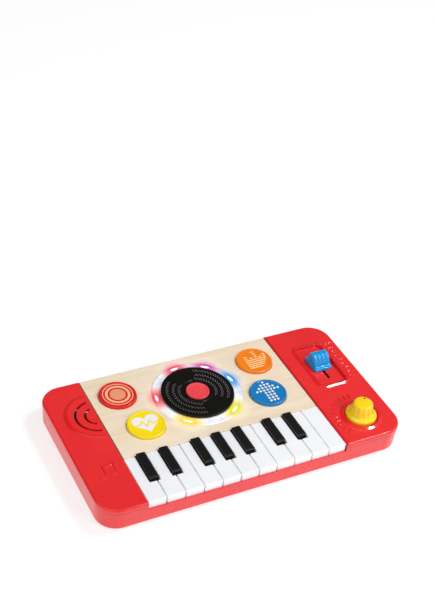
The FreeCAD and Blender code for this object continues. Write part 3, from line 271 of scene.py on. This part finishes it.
# The loudspeaker's border is half a ring: it is swept across its width, so both ends are closed.
speaker_low, speaker_high = corner_box("speaker_frame")
speaker_x, speaker_y, speaker_reach = -117.0, (speaker_low[1] + speaker_high[1]) / 2, 27.5
half_turn = np.radians(np.linspace(92.5, 267.5, 72))
reach, height = (border_section[:-1] + (speaker_reach, 0)).T
speaker_border = np.stack([np.column_stack([speaker_x + reach * math.cos(turn),
                                            speaker_y + reach * math.sin(turn), height])
                           for turn in half_turn])
# The mould is polished here, so the relief mirrors the dark studio, and its red is painted deeper as
# painted shade.
red_relief_shaded = moulded_plastic("red_abs_relief_painted_shade", "E60C16", "E00812", 0.14, 6.0, 0.004,
                               {"IOR": 1.53, "Coat Weight": 0.5, "Coat Roughness": 0.05})
solid("top_borders", [border(bay), border(well), speaker_border[:, ::-1]], red_relief_shaded, "case",
      sharp=9)


# ================================================================ fader and knob scales
# Ridges moulded beside the fader, and rays about the knob's dish. Each is 1.4 mm wide, with
# a rounded crest, polished like the borders and painted the same deeper red, as painted shade.

scale_ridges = []
for step in range(9):
    ridge_y = 53.0 - 6.6 * step
    left, right = (146.2, 156.0) if step in (0, 8) else (146.8, 153.6)
    scale_ridges.append(rounded([(left, ridge_y - 0.7), (right, ridge_y - 0.7),
                                 (right, ridge_y + 0.7), (left, ridge_y + 0.7)], 0.6, 4))
for degrees in range(84, 217, 12):
    along = np.array([math.cos(math.radians(degrees)), math.sin(math.radians(degrees))])
    across = np.array([-along[1], along[0]]) * 0.7
    inner, outer = ((control_x, dial_y) + along * reach for reach in (23.5, 30.5))
    scale_ridges.append(rounded([inner - across, outer - across, outer + across,
                                 inner + across], 0.6, 4))
solid("control_scales", [slab(ridge, cap_top - 0.3, cap_top + 0.8, 0.55) for ridge in scale_ridges],
      red_relief_shaded, "case")


# ================================================================ plywood panel
# Three-ply birch, 3 mm thick, sawn, sanded and lacquered clear. The grain runs along the panel
# in fine long streaks, and the middle ply shows darker on the sawn edges.

record_low, record_high = corner_box("turntable_disc")
RECORD = tuple((record_low[:2] + record_high[:2]) / 2)
LAMP_CIRCLE = 41.5
LAMP_SHADES = [(12, "2896E6"), (54, "D03CA8"), (99, "E6466E"), (170, "F0505A"),
               (232, "FFD634"), (307, "E6DC14")]


def lamp_glow(tree, place, spread, along):
    """Tint and strength of the six lamps' light: about each lamp a soft ellipse, longer round
    the ring than across it. Returns the colour and the strength as outputs."""
    colour, strength = None, None
    for degrees, shade in LAMP_SHADES:
        turn = math.radians(degrees)
        spot = (RECORD[0] + LAMP_CIRCLE * math.cos(turn), RECORD[1] + LAMP_CIRCLE * math.sin(turn))
        local = add(tree, "Mapping", {"Vector": place, "Location": (spot[0] * MM, spot[1] * MM, 0),
                                      "Rotation": (0, 0, turn),
                                      "Scale": (spread * MM, along * MM, 1)},
                    vector_type="TEXTURE")
        flat = add(tree, "VectorMath", {0: local.outputs["Vector"], 1: (1, 1, 0)},
                   operation="MULTIPLY")
        far = add(tree, "VectorMath", {0: flat.outputs["Vector"]}, operation="LENGTH")
        near = add(tree, "MapRange", {"Value": far.outputs["Value"], "From Min": 1.0,
                                      "From Max": 0.0}, interpolation_type="SMOOTHERSTEP")
        weight = near.outputs["Result"]
        colour = add(tree, "MixRGB", {"Fac": weight, "Color2": linear(shade),
                                      "Color1": colour or linear("FFFFFF")}).outputs["Color"]
        strength = weight if strength is None else add(
            tree, "Math", {0: strength, 1: weight}, operation="MAXIMUM").outputs["Value"]
    return colour, strength


birch = bpy.data.materials.new("birch_plywood_lacquered")
birch.use_nodes = True
tree = birch.node_tree
shader = tree.nodes["Principled BSDF"]
shader.inputs["Coat Weight"].default_value = 0.25
shader.inputs["Coat Roughness"].default_value = 0.25
place = add(tree, "TexCoord").outputs["Object"]
# Vessels: streaks 0.6 mm wide and 30 mm long. Growth: bands 8 mm wide and 160 mm long.
streaks = add(tree, "TexNoise", {
    "Vector": add(tree, "Mapping", {"Vector": place, "Scale": (1 / 0.030, 1 / 0.0006, 1 / 0.0006)}
                  ).outputs["Vector"], "Scale": 1.0, "Detail": 4.0, "Roughness": 0.6})
bands = add(tree, "TexNoise", {
    "Vector": add(tree, "Mapping", {"Vector": place, "Scale": (1 / 0.160, 1 / 0.008, 1 / 0.008)}
                  ).outputs["Vector"], "Scale": 1.0, "Detail": 5.0, "Roughness": 0.55,
    "Distortion": 0.6})
pale = add(tree, "MixRGB", {"Fac": add(tree, "MapRange", {
    "Value": bands.outputs["Fac"], "From Min": 0.35, "From Max": 0.68}).outputs["Result"],
    "Color1": linear("F6E6CE"), "Color2": linear("EDD9BA")})
grain = add(tree, "MixRGB", {"Fac": add(tree, "MapRange", {
    "Value": streaks.outputs["Fac"], "From Min": 0.52, "From Max": 0.75,
    "To Max": 0.45}).outputs["Result"], "Color1": pale.outputs["Color"],
    "Color2": linear("D9BC92")})
# The middle ply shows between 23.0 and 24.0 mm, only on faces that stand upright.
height = add(tree, "SeparateXYZ", {"Vector": place}).outputs["Z"]
from_middle = add(tree, "Math", {0: add(tree, "Math", {0: height, 1: 23.5 * MM},
                                        operation="SUBTRACT").outputs["Value"]},
                  operation="ABSOLUTE")
in_middle = add(tree, "MapRange", {"Value": from_middle.outputs["Value"], "From Min": 0.62 * MM,
                                   "From Max": 0.5 * MM})
upright = add(tree, "MapRange", {"Value": add(tree, "Math", {
    0: add(tree, "SeparateXYZ", {"Vector": add(tree, "NewGeometry").outputs["Normal"]}
           ).outputs["Z"]}, operation="ABSOLUTE").outputs["Value"], "From Min": 0.5,
    "From Max": 0.2})
ply = add(tree, "Math", {0: in_middle.outputs["Result"], 1: upright.outputs["Result"]},
          operation="MULTIPLY")
wood = add(tree, "MixRGB", {"Fac": ply.outputs["Value"], "Color1": grain.outputs["Color"],
                            "Color2": linear("B98C5A")})
# The panel's two ends are darkened for half a millimetre: partly the scorch of the laser cut, partly
# painted shadow of the gap to the red caps.
panel_low, panel_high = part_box("wood_panel")
across = add(tree, "SeparateXYZ", {"Vector": place}).outputs["X"]
from_end = add(tree, "Math", {0: add(tree, "Math", {0: across, 1: (panel_low[0] + panel_high[0]) / 2},
                                     operation="SUBTRACT").outputs["Value"]}, operation="ABSOLUTE")
half = (panel_high[0] - panel_low[0]) / 2
end_scorch_and_gap_shade = add(tree, "MapRange", {"Value": from_end.outputs["Value"], "From Min": half - 0.7 * MM,
                                "From Max": half - 0.3 * MM, "To Max": 0.9})
wood = add(tree, "MixRGB", {"Fac": end_scorch_and_gap_shade.outputs["Result"], "Color1": wood.outputs["Color"],
                            "Color2": linear("2E1A10")})
# Painted light: round the ring the lamps' coloured light is painted into the wood's colour, and the
# wood glows faintly with it.
tint, strength = lamp_glow(tree, place, 20.0, 25.0)
share = add(tree, "Math", {0: strength, 1: 0.75}, operation="MULTIPLY")
lamp_lit_wood = add(tree, "MixRGB", {"Fac": share.outputs["Value"], "Color1": wood.outputs["Color"],
                               "Color2": tint})
tree.links.new(lamp_lit_wood.outputs["Color"], shader.inputs["Base Color"])
matt = add(tree, "MapRange", {"Value": streaks.outputs["Fac"], "From Min": 0.3, "From Max": 0.7,
                              "To Min": 0.42, "To Max": 0.58})
tree.links.new(matt.outputs["Result"], shader.inputs["Roughness"])
relief = add(tree, "Bump", {"Height": streaks.outputs["Fac"], "Strength": 0.5,
                            "Distance": 0.03 * MM})
tree.links.new(relief.outputs["Normal"], shader.inputs["Normal"])
tree.links.new(tint, shader.inputs["Emission Color"])
spill = add(tree, "Math", {0: strength, 1: 0.16}, operation="MULTIPLY")
tree.links.new(spill.outputs["Value"], shader.inputs["Emission Strength"])
coat_nodes(birch, "wood_panel")


# ================================================================ lit ring
# Frosted polycarbonate ring round the record, lit from below by six coloured lamps. A lamp
# shows as a white-hot spot in a halo of its colour, and the rest glows cool white.

def spun(profile, centre, around=128):
    """Rings of a turned solid: each (radius, height) of the profile becomes a circle
    centre + radius (cos t, sin t). The profile runs out along the base, up and back in."""
    t = np.linspace(0, 2 * np.pi, around, endpoint=False)
    profile = np.asarray(profile, float)
    rings = np.stack([np.cos(t), np.sin(t)], 1)[None] * profile[:, :1, None] + centre
    heights = np.broadcast_to(profile[:, 1:, None], (len(profile), around, 1))
    return np.concatenate([rings, heights], 2)


frosted = bpy.data.materials.new("polycarbonate_frosted_lit")
frosted.use_nodes = True
tree = frosted.node_tree
shader = tree.nodes["Principled BSDF"]
shader.inputs["Roughness"].default_value = 0.28
shader.inputs["IOR"].default_value = 1.58
shader.inputs["Subsurface Weight"].default_value = 0.3
shader.inputs["Subsurface Radius"].default_value = (0.003, 0.003, 0.003)
place = add(tree, "TexCoord").outputs["Object"]
# Cloudy patches of about 7 mm, where the frosting scatters the light unevenly.
cloud = add(tree, "TexNoise", {"Vector": place, "Scale": 1 / (7 * MM), "Detail": 2.0})
white = add(tree, "MixRGB", {"Fac": add(tree, "MapRange", {
    "Value": cloud.outputs["Fac"], "From Min": 0.35, "From Max": 0.65}).outputs["Result"],
    "Color1": linear("DDE4EE"), "Color2": linear("F8FAFC")})
tint, strength = lamp_glow(tree, place, 24.0, 26.0)
halo = add(tree, "MapRange", {"Value": strength, "From Min": 0.08, "From Max": 0.32})
body_colour = add(tree, "MixRGB", {"Fac": halo.outputs["Result"],
                                   "Color1": white.outputs["Color"], "Color2": tint})
_, core = lamp_glow(tree, place, 2.4, 8.0)
hot = add(tree, "MapRange", {"Value": core, "From Min": 0.15, "From Max": 0.8})
lit = add(tree, "MixRGB", {"Fac": hot.outputs["Result"], "Color1": body_colour.outputs["Color"],
                           "Color2": linear("FFFFFF")})
tree.links.new(lit.outputs["Color"], shader.inputs["Base Color"])
tree.links.new(lit.outputs["Color"], shader.inputs["Emission Color"])
power = add(tree, "Math", {0: hot.outputs["Result"], 1: 0.8, 2: 0.12},
            operation="MULTIPLY_ADD")
tree.links.new(power.outputs["Value"], shader.inputs["Emission Strength"])
low, high = corner_box("light_ring")
ring_profile = [(33.0, low[2]), (45.5, low[2]), (45.5, high[2] - 0.9), (45.3, high[2] - 0.4),
                (44.8, high[2] - 0.05), (44.2, high[2]), (43.4, high[2] - 0.25),
                (40.5, high[2] - 0.45), (38.2, high[2] - 0.3), (37.6, high[2]),
                (36.8, high[2]), (36.2, high[2] - 0.3), (33.0, high[2] - 0.3), (33.0, low[2])]
solid("light_ring_lens", [spun(ring_profile, RECORD, 192)], frosted, "case",
      ["light_ring"], 60)


# ================================================================ record
# Black moulded disc that a child spins. Fine grooves ring its face, and rows of raised specks,
# set in a zigzag, fill two opposite quarters. A channel runs round the label.

low, high = corner_box("turntable_disc")
top = high[2]
rim = (high[0] - low[0]) / 2
disc_profile, _ = rounded([(0.01, low[2]), (rim, low[2]), (rim, top), (17.0, top),
                           (16.6, top - 0.5), (15.4, top - 0.5), (15.0, top), (13.3, top),
                           (12.7, top - 1.0), (0.01, top - 1.0)],
                          [0, 0.3, 0.7, 0.15, 0.1, 0.1, 0.15, 0.2, 0.1, 0], closed=False)
record_black = moulded_plastic("black_abs_grooved", "0C0A08", "080706", 0.22, 1.0, 0.002,
                               {"IOR": 1.53, "Specular IOR Level": 0.22})
tree = record_black.node_tree
shader = tree.nodes["Principled BSDF"]
# Grooves drawn 0.9 mm apart, coarser than a pressed record's, so that they show.
from_centre = add(tree, "VectorMath", {0: add(tree, "TexCoord").outputs["Object"],
                                       1: (RECORD[0] * MM, RECORD[1] * MM, 0)},
                  operation="SUBTRACT")
level = add(tree, "VectorMath", {0: from_centre.outputs["Vector"], 1: (1, 1, 0)},
            operation="MULTIPLY")
radius = add(tree, "VectorMath", {0: level.outputs["Vector"]}, operation="LENGTH")
wave = add(tree, "Math", {0: add(tree, "Math", {0: radius.outputs["Value"],
                                                1: 2 * math.pi / (0.9 * MM)},
                                 operation="MULTIPLY").outputs["Value"]}, operation="SINE")
grooves = add(tree, "Bump", {"Height": wave.outputs["Value"], "Strength": 0.35,
                             "Distance": 0.05 * MM})
tree.links.new(grooves.outputs["Normal"], shader.inputs["Normal"])
solid("record_disc", [spun(disc_profile, RECORD, 160)], record_black, "turntable",
      ["turntable_disc"])

# The specks are small domes, 1 mm across, coloured light grey.
speck_grey = moulded_plastic("light_grey_specks", "8E8B88", "77736F", 0.4, 0.8, 0.003)
dome = spun([(0.5, top - 0.2), (0.5, top + 0.05), (0.38, top + 0.2), (0.2, top + 0.26)],
            (0, 0), 8)
specks = []
for row, pitch in ((30.6, 1.45), (24.4, 1.45), (18.6, 1.45)):
    for first_degrees, last_degrees in ((134, 262), (-38, 74)):
        turns = np.arange(math.radians(first_degrees), math.radians(last_degrees), pitch / row)
        for place_in_row, turn in enumerate(turns):
            reach = row + (0.75 if place_in_row % 2 else -0.75)
            specks.append(dome + [RECORD[0] + reach * math.cos(turn),
                                  RECORD[1] + reach * math.sin(turn), 0])
solid("record_specks", specks, speck_grey, "turntable")


# ================================================================ label
# Red cap snapped into the middle of the record, with a rounded rim round a shallow dish, and
# a plain triangle raised in it.

low, high = corner_box("turntable_label")
reach, top = (high[0] - low[0]) / 2, high[2]
label_profile, _ = rounded([(0.01, low[2] - 1.0), (reach, low[2] - 1.0), (reach, top),
                            (reach - 1.6, top), (reach - 2.1, top - 0.45), (0.01, top - 0.45)],
                           [0, 0.2, 0.7, 0.3, 0.2, 0], closed=False)
label_red = moulded_plastic("red_abs_polished", "F24850", "EC4048", 0.22, 1.2, 0.002,
                            {"IOR": 1.53, "Coat Weight": 0.4, "Coat Roughness": 0.05})
angles = np.radians([270, 30, 150])
corners = np.stack([np.cos(angles), np.sin(angles)], 1)
triangle = slab(rounded(corners * 6.6 + RECORD, 1.2), top - 0.6, top - 0.15, 0.2)
hollow = slab(rounded(corners * 3.4 + RECORD, 0.5), top - 0.6, top - 0.05, 0.2)
solid("record_label", [spun(label_profile, RECORD, 96), triangle, hollow], label_red, "turntable",
      ["turntable_label"])


# ================================================================ push buttons
# Four round caps in polished ABS, each a colour of its own, that slide 1.5 mm down on rubber
# domes. A rounded rim stands 0.4 mm above the face, which carries a moulded-in mark.

def button(name, material):
    """A button cap, and where its face lies: returns the centre and the face's height."""
    low, high = corner_box(name)
    centre = (low[:2] + high[:2]) / 2
    top, reach = high[2], 18.7
    profile, _ = rounded([(0.01, top - 8.0), (reach, top - 8.0), (reach, top), (reach - 1.9, top),
                          (reach - 2.4, top - 0.45), (0.01, top - 0.3)],
                         [0, 0.3, 1.1, 0.45, 0.3, 0], 6, closed=False)
    solid(name + "_cap", [spun(profile, centre, 128)], material, name, [name])
    return centre, top - 0.4


def gloss_abs(name, shade, deep):
    """Polished ABS: hardly any texture, a clear reflection, faint waviness from the mould."""
    return moulded_plastic(name, shade, deep, 0.16, 9.0, 0.02,
                           {"IOR": 1.53, "Specular IOR Level": 0.4, "Coat Weight": 0.3,
                            "Coat Roughness": 0.04})


# Target: a red cap with a peach disc and two peach rings.
button_red = gloss_abs("red_abs_gloss", "E6160C", "DE1008")
peach = gloss_abs("peach_abs_gloss", "F2A27E", "EE9C78")
pale_peach = gloss_abs("pale_peach_abs_gloss", "F8C49A", "F4BE92")
centre, face = button("button_target", button_red)
solid("target_middle", [slab(ellipse(centre, 7.9, 7.9, 0, 64), face - 0.4, face + 0.15, 0.12)],
      peach, "button_target")
target_marks = []
for inner, outer in ((9.9, 12.4), (14.3, 15.3)):
    target_marks.append(spun([(inner, face - 0.4), (outer, face - 0.4), (outer, face + 0.08),
                              (outer - 0.1, face + 0.15), (inner + 0.1, face + 0.15),
                              (inner, face + 0.08), (inner, face - 0.4)], centre, 96))
solid("target_rings", target_marks, pale_peach, "button_target")

# Heart: a white heart crossed by a yellow pulse line, on a yellow cap.
button_yellow = gloss_abs("yellow_abs_gloss", "FFE400", "FCDC00")
mark_white = gloss_abs("white_abs_gloss", "FAF6F4", "F4F0EC")
centre, face = button("button_heart", button_yellow)
t = np.linspace(0, 2 * np.pi, 96, endpoint=False) - np.pi / 2
heart = np.stack([16 * np.cos(t) ** 3, 13 * np.cos(t - np.pi / 2)
                  - 5 * np.cos(2 * t - np.pi) - 2 * np.cos(3 * t - 1.5 * np.pi)
                  - np.cos(4 * t - 2 * np.pi)], 1)
heart = heart * 0.83 + centre + (0.5, 1.6)
tangent = np.roll(heart, -1, 0) - np.roll(heart, 1, 0)
heart_normals = np.stack([tangent[:, 1], -tangent[:, 0]], 1)
heart_normals /= np.linalg.norm(heart_normals, axis=1)[:, None] + 1e-9
solid("heart_mark", [slab((heart, heart_normals), face - 0.4, face + 0.15, 0.05)], mark_white,
      "button_heart")


def ribbon(path, width):
    """Outline of a line with mitred bends: each bend moves width / 2 along the mean of its two
    sides' normals, over the cosine of half the turn."""
    path = np.asarray(path, float)
    ahead = np.diff(path, axis=0)
    ahead /= np.linalg.norm(ahead, axis=1)[:, None]
    sides = np.stack([ahead[:, 1], -ahead[:, 0]], 1)
    first, last = np.concatenate([sides[:1], sides]), np.concatenate([sides, sides[-1:]])
    mean = first + last
    mean /= (mean * last).sum(1)[:, None]
    return np.concatenate([path + mean * width / 2, (path - mean * width / 2)[::-1]])


pulse = np.array([(-13.4, -0.6), (-6.3, 0.2), (-2.8, 4.2), (-0.1, -3.4), (4.0, 3.4), (6.4, -1.2),
                  (14.6, 1.0)]) + centre
solid("heart_pulse", [slab(rounded(ribbon(pulse, 1.5), 0.25, 3), face - 0.4, face + 0.2, 0.1)],
      button_yellow, "button_heart")

# Bars: cream level-meter bars on an orange cap, long at the foot, with short dashes above.
button_orange = gloss_abs("orange_abs_gloss", "FB860A", "F67E06")
cream = gloss_abs("cream_abs_gloss", "FFDFA6", "FBD79A")
centre, face = button("button_bars", button_orange)
dashes = []
rows = [(-9.6, 6.0 + 2.1 * row, -11.4 + 2.9 * row) for row in range(5)]
for left, low_y in ((-9.4, 3.1), (-9.0, 6.0), (-3.6, 3.1), (1.6, 3.1), (2.4, 6.0), (1.8, 8.9),
                    (1.2, 11.8), (6.6, 3.1), (11.2, 3.1), (11.4, 5.6)):
    rows.append((left, left + 3.6, low_y))
for left, right, low_y in rows:
    dash = [(left, low_y), (right, low_y), (right, low_y + 1.35), (left, low_y + 1.35)]
    dashes.append(slab(rounded(np.array(dash) + centre, 0.45, 3), face - 0.4, face + 0.15, 0.1))
solid("level_bars", dashes, cream, "button_bars")

# Arrow: white domed dots on a blue cap, in rows of 1, 3, 5 and 7 over a stem three dots wide.
button_blue = gloss_abs("blue_abs_gloss", "007FC4", "0079BC")
centre, face = button("button_arrow", button_blue)
dot = spun([(1.35, face - 0.4), (1.35, face + 0.05), (1.1, face + 0.18), (0.5, face + 0.22)],
           (0, 0), 14)
pitch = 3.85
dots = []
for row, across in enumerate((1, 3, 5, 7, 3, 3, 3, 3)):
    for column in range(across):
        dots.append(dot + [centre[0] + 0.9 + pitch * (column - (across - 1) / 2),
                           centre[1] + 1.2 + pitch * (3.5 - row), 0])
solid("arrow_dots", dots, mark_white, "button_arrow")


# ================================================================ white keys
# Eleven hollow keys in white ABS, polished, hinged on a rod under the panel. Each is cut away
# beside the black keys, and all top edges are rounded by 0.7 mm.

key_white = moulded_plastic("white_abs_polished", "FAFAFC", "F6F6F9", 0.2, 14.0, 0.03,
                            {"IOR": 1.53, "Coat Weight": 0.3, "Coat Roughness": 0.06,
                             "Subsurface Weight": 0.05})
blacks = {name: [*corner_box(name)] for name in sorted(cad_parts)
          if name.startswith("black_key")}
panel_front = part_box("wood_panel")[0][1] / MM
key_back = panel_front - 0.4
SIDE_GAP, SHOULDER_GAP = 0.5, 0.9
for name in [f"white_key_{number:02d}" for number in range(1, 12)]:
    low, high = corner_box(name)
    rear_left, rear_right = low[0], high[0]
    for dark_low, dark_high in blacks.values():
        if dark_low[0] < low[0] < dark_high[0]:
            rear_left = dark_high[0] + SIDE_GAP
        if dark_low[0] < high[0] < dark_high[0]:
            rear_right = dark_low[0] - SIDE_GAP
    shoulder = blacks["black_key_1"][0][1] - SHOULDER_GAP
    low[0] += 0.06
    high[0] -= 0.06
    corners = [(low[0], low[1]), (high[0], low[1])]
    radii = [0.9, 0.9]
    if rear_right < high[0]:
        corners += [(high[0], shoulder), (rear_right, shoulder)]
        radii += [0.9, 0.5]
    corners += [(rear_right, key_back), (rear_left, key_back)]
    radii += [0.9, 0.9]
    if rear_left > low[0]:
        corners += [(rear_left, shoulder), (low[0], shoulder)]
        radii += [0.5, 0.9]
    solid(name + "_cap", [slab(rounded(corners, radii, 6), high[2] - 12.5, high[2], 0.7, 5)],
          key_white, name, [name])


# ================================================================ black keys
# Seven bars in black ABS, high gloss. The sides lean in a little, the front slopes back, and
# the top edges are bevelled by 0.9 mm.

key_black = moulded_plastic("black_abs_gloss", "0E0B0A", "0A0807", 0.13, 10.0, 0.012,
                            {"IOR": 1.53, "Specular IOR Level": 0.4, "Coat Weight": 0.2,
                             "Coat Roughness": 0.04})
for name, (low, high) in blacks.items():
    rings = slab(rounded([(low[0], low[1]), (high[0], low[1]), (high[0], key_back),
                          (low[0], key_back)], [1.1, 1.1, 1.05, 1.05], 10),
                 high[2] - 12.5, high[2], 0.9, 1)
    rise = np.clip(rings[..., 2] - (high[2] - 4.6), 0, 3.7)
    middle = (low[0] + high[0]) / 2
    rings[..., 0] += (middle - rings[..., 0]) * 0.022 * rise
    front = np.clip((low[1] + 8 - rings[..., 1]) / 8, 0, 1)
    rings[..., 1] += 0.42 * rise * front
    solid(name + "_cap", [rings], key_black, name, [name], 14)


# ================================================================ fader cap
# Blue ABS cap with a stepped foot and a grip of four ribs, each a half round that runs up the
# front, over the crest and down the back. It is pushed on a steel lever.

low, high = corner_box("fader_cap")
middle = (low[0] + high[0]) / 2
fader_blue = moulded_plastic("sky_blue_abs_moulded", "00A0E6", "0098DE", 0.2, 9.0, 0.01,
                             {"IOR": 1.53, "Specular IOR Level": 0.4, "Coat Weight": 0.35,
                              "Coat Roughness": 0.06})
foot = rounded([(low[0], low[1]), (high[0], low[1]), (high[0], high[1]), (low[0], high[1])], 1.2)
foot_top = low[2] + 3.0
plinth = rounded([(low[0] + 0.9, low[1] + 1.7), (high[0] - 0.9, low[1] + 1.7),
                  (high[0] - 0.9, high[1] - 2.0), (low[0] + 0.9, high[1] - 2.0)], 0.9)
grip_front, grip_back = low[1] + 3.2, high[1] - 4.4
outline, outward = rounded([(grip_front, foot_top + 0.4), (grip_back, foot_top + 0.4),
                            (grip_back - 1.8, high[2] - 0.9), (grip_front + 5.6, high[2] - 0.9)],
                           [0.2, 0.2, 2.4, 6.0], 8)
across = np.linspace(-1, 1, 81)
rib = np.sqrt(np.clip(1 - (2 * ((across * 2) % 1) - 1) ** 2, 0, 1))
swell = 0.95 * rib - 1.3 * np.clip((np.abs(across) - 0.94) / 0.06, 0, 1) ** 2
free = np.clip((outline[:, 1] - foot_top - 0.6) / 1.5, 0, 1)
side_view = outline[None] + outward[None] * swell[:, None, None] * free[None, :, None]
grip = np.concatenate([np.broadcast_to(middle + 9.1 * across[:, None, None],
                                       (*side_view.shape[:2], 1)), side_view], 2)
solid("fader_grip", [slab(foot, low[2], foot_top, 1.1, 5),
                     slab(plinth, foot_top - 0.4, foot_top + 1.0, 0.5), grip],
      fader_blue, "fader", ["fader_cap"], 40)


# ================================================================ knob
# Yellow ABS knob pressed on the shaft: a flared skirt, a waist, and a grip with twelve broad
# facets between narrow grooves. A dark spot on the top shows where it points.

low, high = corner_box("knob")
knob_centre = (low[:2] + high[:2]) / 2
skirt = (high[0] - low[0]) / 2
base, top = low[2], high[2]
knob_yellow = moulded_plastic("golden_abs_moulded", "FFDC00", "FCD400", 0.2, 9.0, 0.01,
                              {"IOR": 1.53, "Specular IOR Level": 0.4, "Coat Weight": 0.35,
                               "Coat Roughness": 0.06})
profile, _ = rounded([(0.01, base), (skirt, base), (skirt, base + 3.0), (12.4, base + 5.4),
                      (10.9, base + 9.0), (9.4, top - 0.6), (0.01, top)],
                     [0, 0.4, 1.6, 2.2, 4.0, 2.4, 0], 8, closed=False)
rings = spun(profile, knob_centre, 288)
around = np.linspace(0, 2 * np.pi, 288, endpoint=False)
groove = np.clip(1 - np.abs((around * 12 / (2 * np.pi) + 0.5) % 1 - 0.5) / 0.2, 0, 1)
groove = groove * groove * (3 - 2 * groove)
height = np.array(profile)[:, 1]
depth = 0.8 * np.clip((height - base - 4.0) / 3.0, 0, 1) * np.clip((top - height) / 1.2, 0, 1)
shrink = 1 - depth[:, None] * groove[None] / np.maximum(np.array(profile)[:, :1], 1.0)
rings[..., :2] = knob_centre + (rings[..., :2] - knob_centre) * shrink[..., None]
solid("volume_knob_cap", [rings], knob_yellow, "volume_knob", ["knob"], 50)
pointer = moulded_plastic("dark_pointer_spot", "2A2418", "201B12", 0.4, 0.8, 0.002)
solid("volume_pointer", [slab(ellipse(knob_centre + (3.8, 4.6), 0.85, 0.85, 0, 16), top - 0.4,
                              top, 0.02)], pointer, "volume_knob")


# ================================================================ small parts seen from below or behind
# Rubber feet pressed into their seats, plated screws deep in their wells, and the black lever
# of the power switch in the back wall.

foot_rubber = moulded_plastic("black_rubber_moulded", "2C2C2E", "242426", 0.8, 1.0, 0.02)
plated_steel = moulded_plastic("steel_zinc_plated", "C3C6CA", "B2B6BC", 0.32, 2.0, 0.01,
                               {"Metallic": 1.0})
dull_black = moulded_plastic("black_nylon_moulded", "1A1A1C", "141416", 0.5, 1.0, 0.01)
board_green = moulded_plastic("board_solder_masked", "1F6B3C", "1A5E34", 0.35, 3.0, 0.01)
acetal_white = moulded_plastic("acetal_turned", "E8E8E4", "DEDEDA", 0.45, 1.0, 0.01)
paper_cone = moulded_plastic("paper_pulp_pressed", "2B2A28", "232220", 0.9, 1.2, 0.05)
clear_lens = moulded_plastic("epoxy_lens_cast", "F7F2E4", "EFE9DA", 0.15, 2.0, 0.005)
cell_jacket = moulded_plastic("steel_can_printed", "3D4A57", "35414D", 0.3, 3.0, 0.01)
silicone_grey = moulded_plastic("silicone_moulded", "C9CDD2", "BEC2C8", 0.6, 1.0, 0.01)
coat_nodes(foot_rubber, "rubber_feet")
coat_nodes(plated_steel, "case_screws", "battery_door_screw", "key_rod", "fader_lever",
           "fader_body", "potentiometer", "speaker_frame", "speaker_magnet", "battery_contacts")
coat_nodes(dull_black, "power_switch_lever", "power_switch_case", "encoder_wheel", "main_chips")
coat_nodes(board_green, "key_board", "lamp_board", "left_button_board", "right_button_board",
           "main_board", "control_board")
coat_nodes(acetal_white, "turntable_spindle", "turntable_bearing", "knob_shaft")
coat_nodes(paper_cone, "speaker_cone")
coat_nodes(clear_lens, "lamps")
coat_nodes(cell_jacket, "batteries")
coat_nodes(silicone_grey, "key_dome_strip", "button_domes")


# ================================================================ table, light and camera
# A white acrylic sweep lit from behind, under soft boxes: one overhead, one in front and one at
# the left. The camera looks down from the front left.

paper = bpy.data.materials.new("acrylic_sweep_backlit")
paper.use_nodes = True
tree = paper.node_tree
shader = tree.nodes["Principled BSDF"]
fibre = add(tree, "TexNoise", {"Vector": add(tree, "TexCoord").outputs["Object"],
                               "Scale": 1 / (2 * MM), "Detail": 3.0})
tone = add(tree, "MixRGB", {"Fac": fibre.outputs["Fac"], "Color1": linear("AAAAAA"),
                            "Color2": linear("AEAEAE")})
tree.links.new(tone.outputs["Color"], shader.inputs["Base Color"])
shader.inputs["Roughness"].default_value = 0.6
shader.inputs["Specular IOR Level"].default_value = 0.2
shader.inputs["Emission Color"].default_value = linear("FFFFFF")
shader.inputs["Emission Strength"].default_value = 0.66
reach = 6.0
mesh = bpy.data.meshes.new("table")
mesh.from_pydata([(-reach, -reach, 0), (reach, -reach, 0), (reach, reach, 0), (-reach, reach, 0)], [],
                 [(0, 1, 2, 3)])
mesh.materials.append(paper)
table = bpy.data.objects.new("table", mesh)
bpy.context.collection.objects.link(table)

# The studio is pale but for the wall behind the table, so level faces mirror a dark wall.
world = bpy.data.worlds.new("studio")
world.use_nodes = True
tree = world.node_tree
towards = add(tree, "SeparateXYZ", {"Vector": add(tree, "TexCoord").outputs["Generated"]})
haze = add(tree, "MapRange", {"Value": towards.outputs["Y"], "From Min": 0.2, "From Max": 0.5,
                              "To Min": 0.62, "To Max": 0.18})
tree.nodes["Background"].inputs["Color"].default_value = linear("FFFFFF")
tree.links.new(haze.outputs["Result"], tree.nodes["Background"].inputs["Strength"])
bpy.context.scene.world = world

for name, spot, across, along, watts in (
        ("strip_box", (1.09, -0.13, 1.77), 0.3, 0.4, 14.0),
        ("front_box", (0.6, -1.12, 0.96), 0.55, 0.17, 5.0),
        ("left_box", (-0.9, -0.3, 1.4), 1.3, 1.3, 5.0)):
    light = bpy.data.lights.new(name, "AREA")
    light.shape = "RECTANGLE"
    light.size, light.size_y = across, along
    light.energy = watts
    lamp = bpy.data.objects.new(name, light)
    lamp.location = spot
    lamp.rotation_euler = (-Vector(spot)).to_track_quat("-Z", "Y").to_euler()
    bpy.context.collection.objects.link(lamp)

lens = bpy.data.cameras.new("camera")
lens.lens = 71.94
camera = bpy.data.objects.new("camera", lens)
azimuth, elevation, roll = (math.radians(angle) for angle in (-30.771, 37.298, 7.108))
back = Vector((math.sin(azimuth) * math.cos(elevation), -math.cos(azimuth) * math.cos(elevation),
               math.sin(elevation)))
right = Vector((0, 0, 1)).cross(back).normalized()
up = back.cross(right)
tilted_right = right * math.cos(roll) + up * math.sin(roll)
tilted_up = up * math.cos(roll) - right * math.sin(roll)
camera.matrix_world = Matrix.Translation(Vector((-462.9, -743.1, 821.9)) * MM) @ Matrix(
    (tilted_right, tilted_up, back)).transposed().to_4x4()
bpy.context.collection.objects.link(camera)
bpy.context.scene.camera = camera
bpy.context.scene.view_settings.view_transform = "Standard"
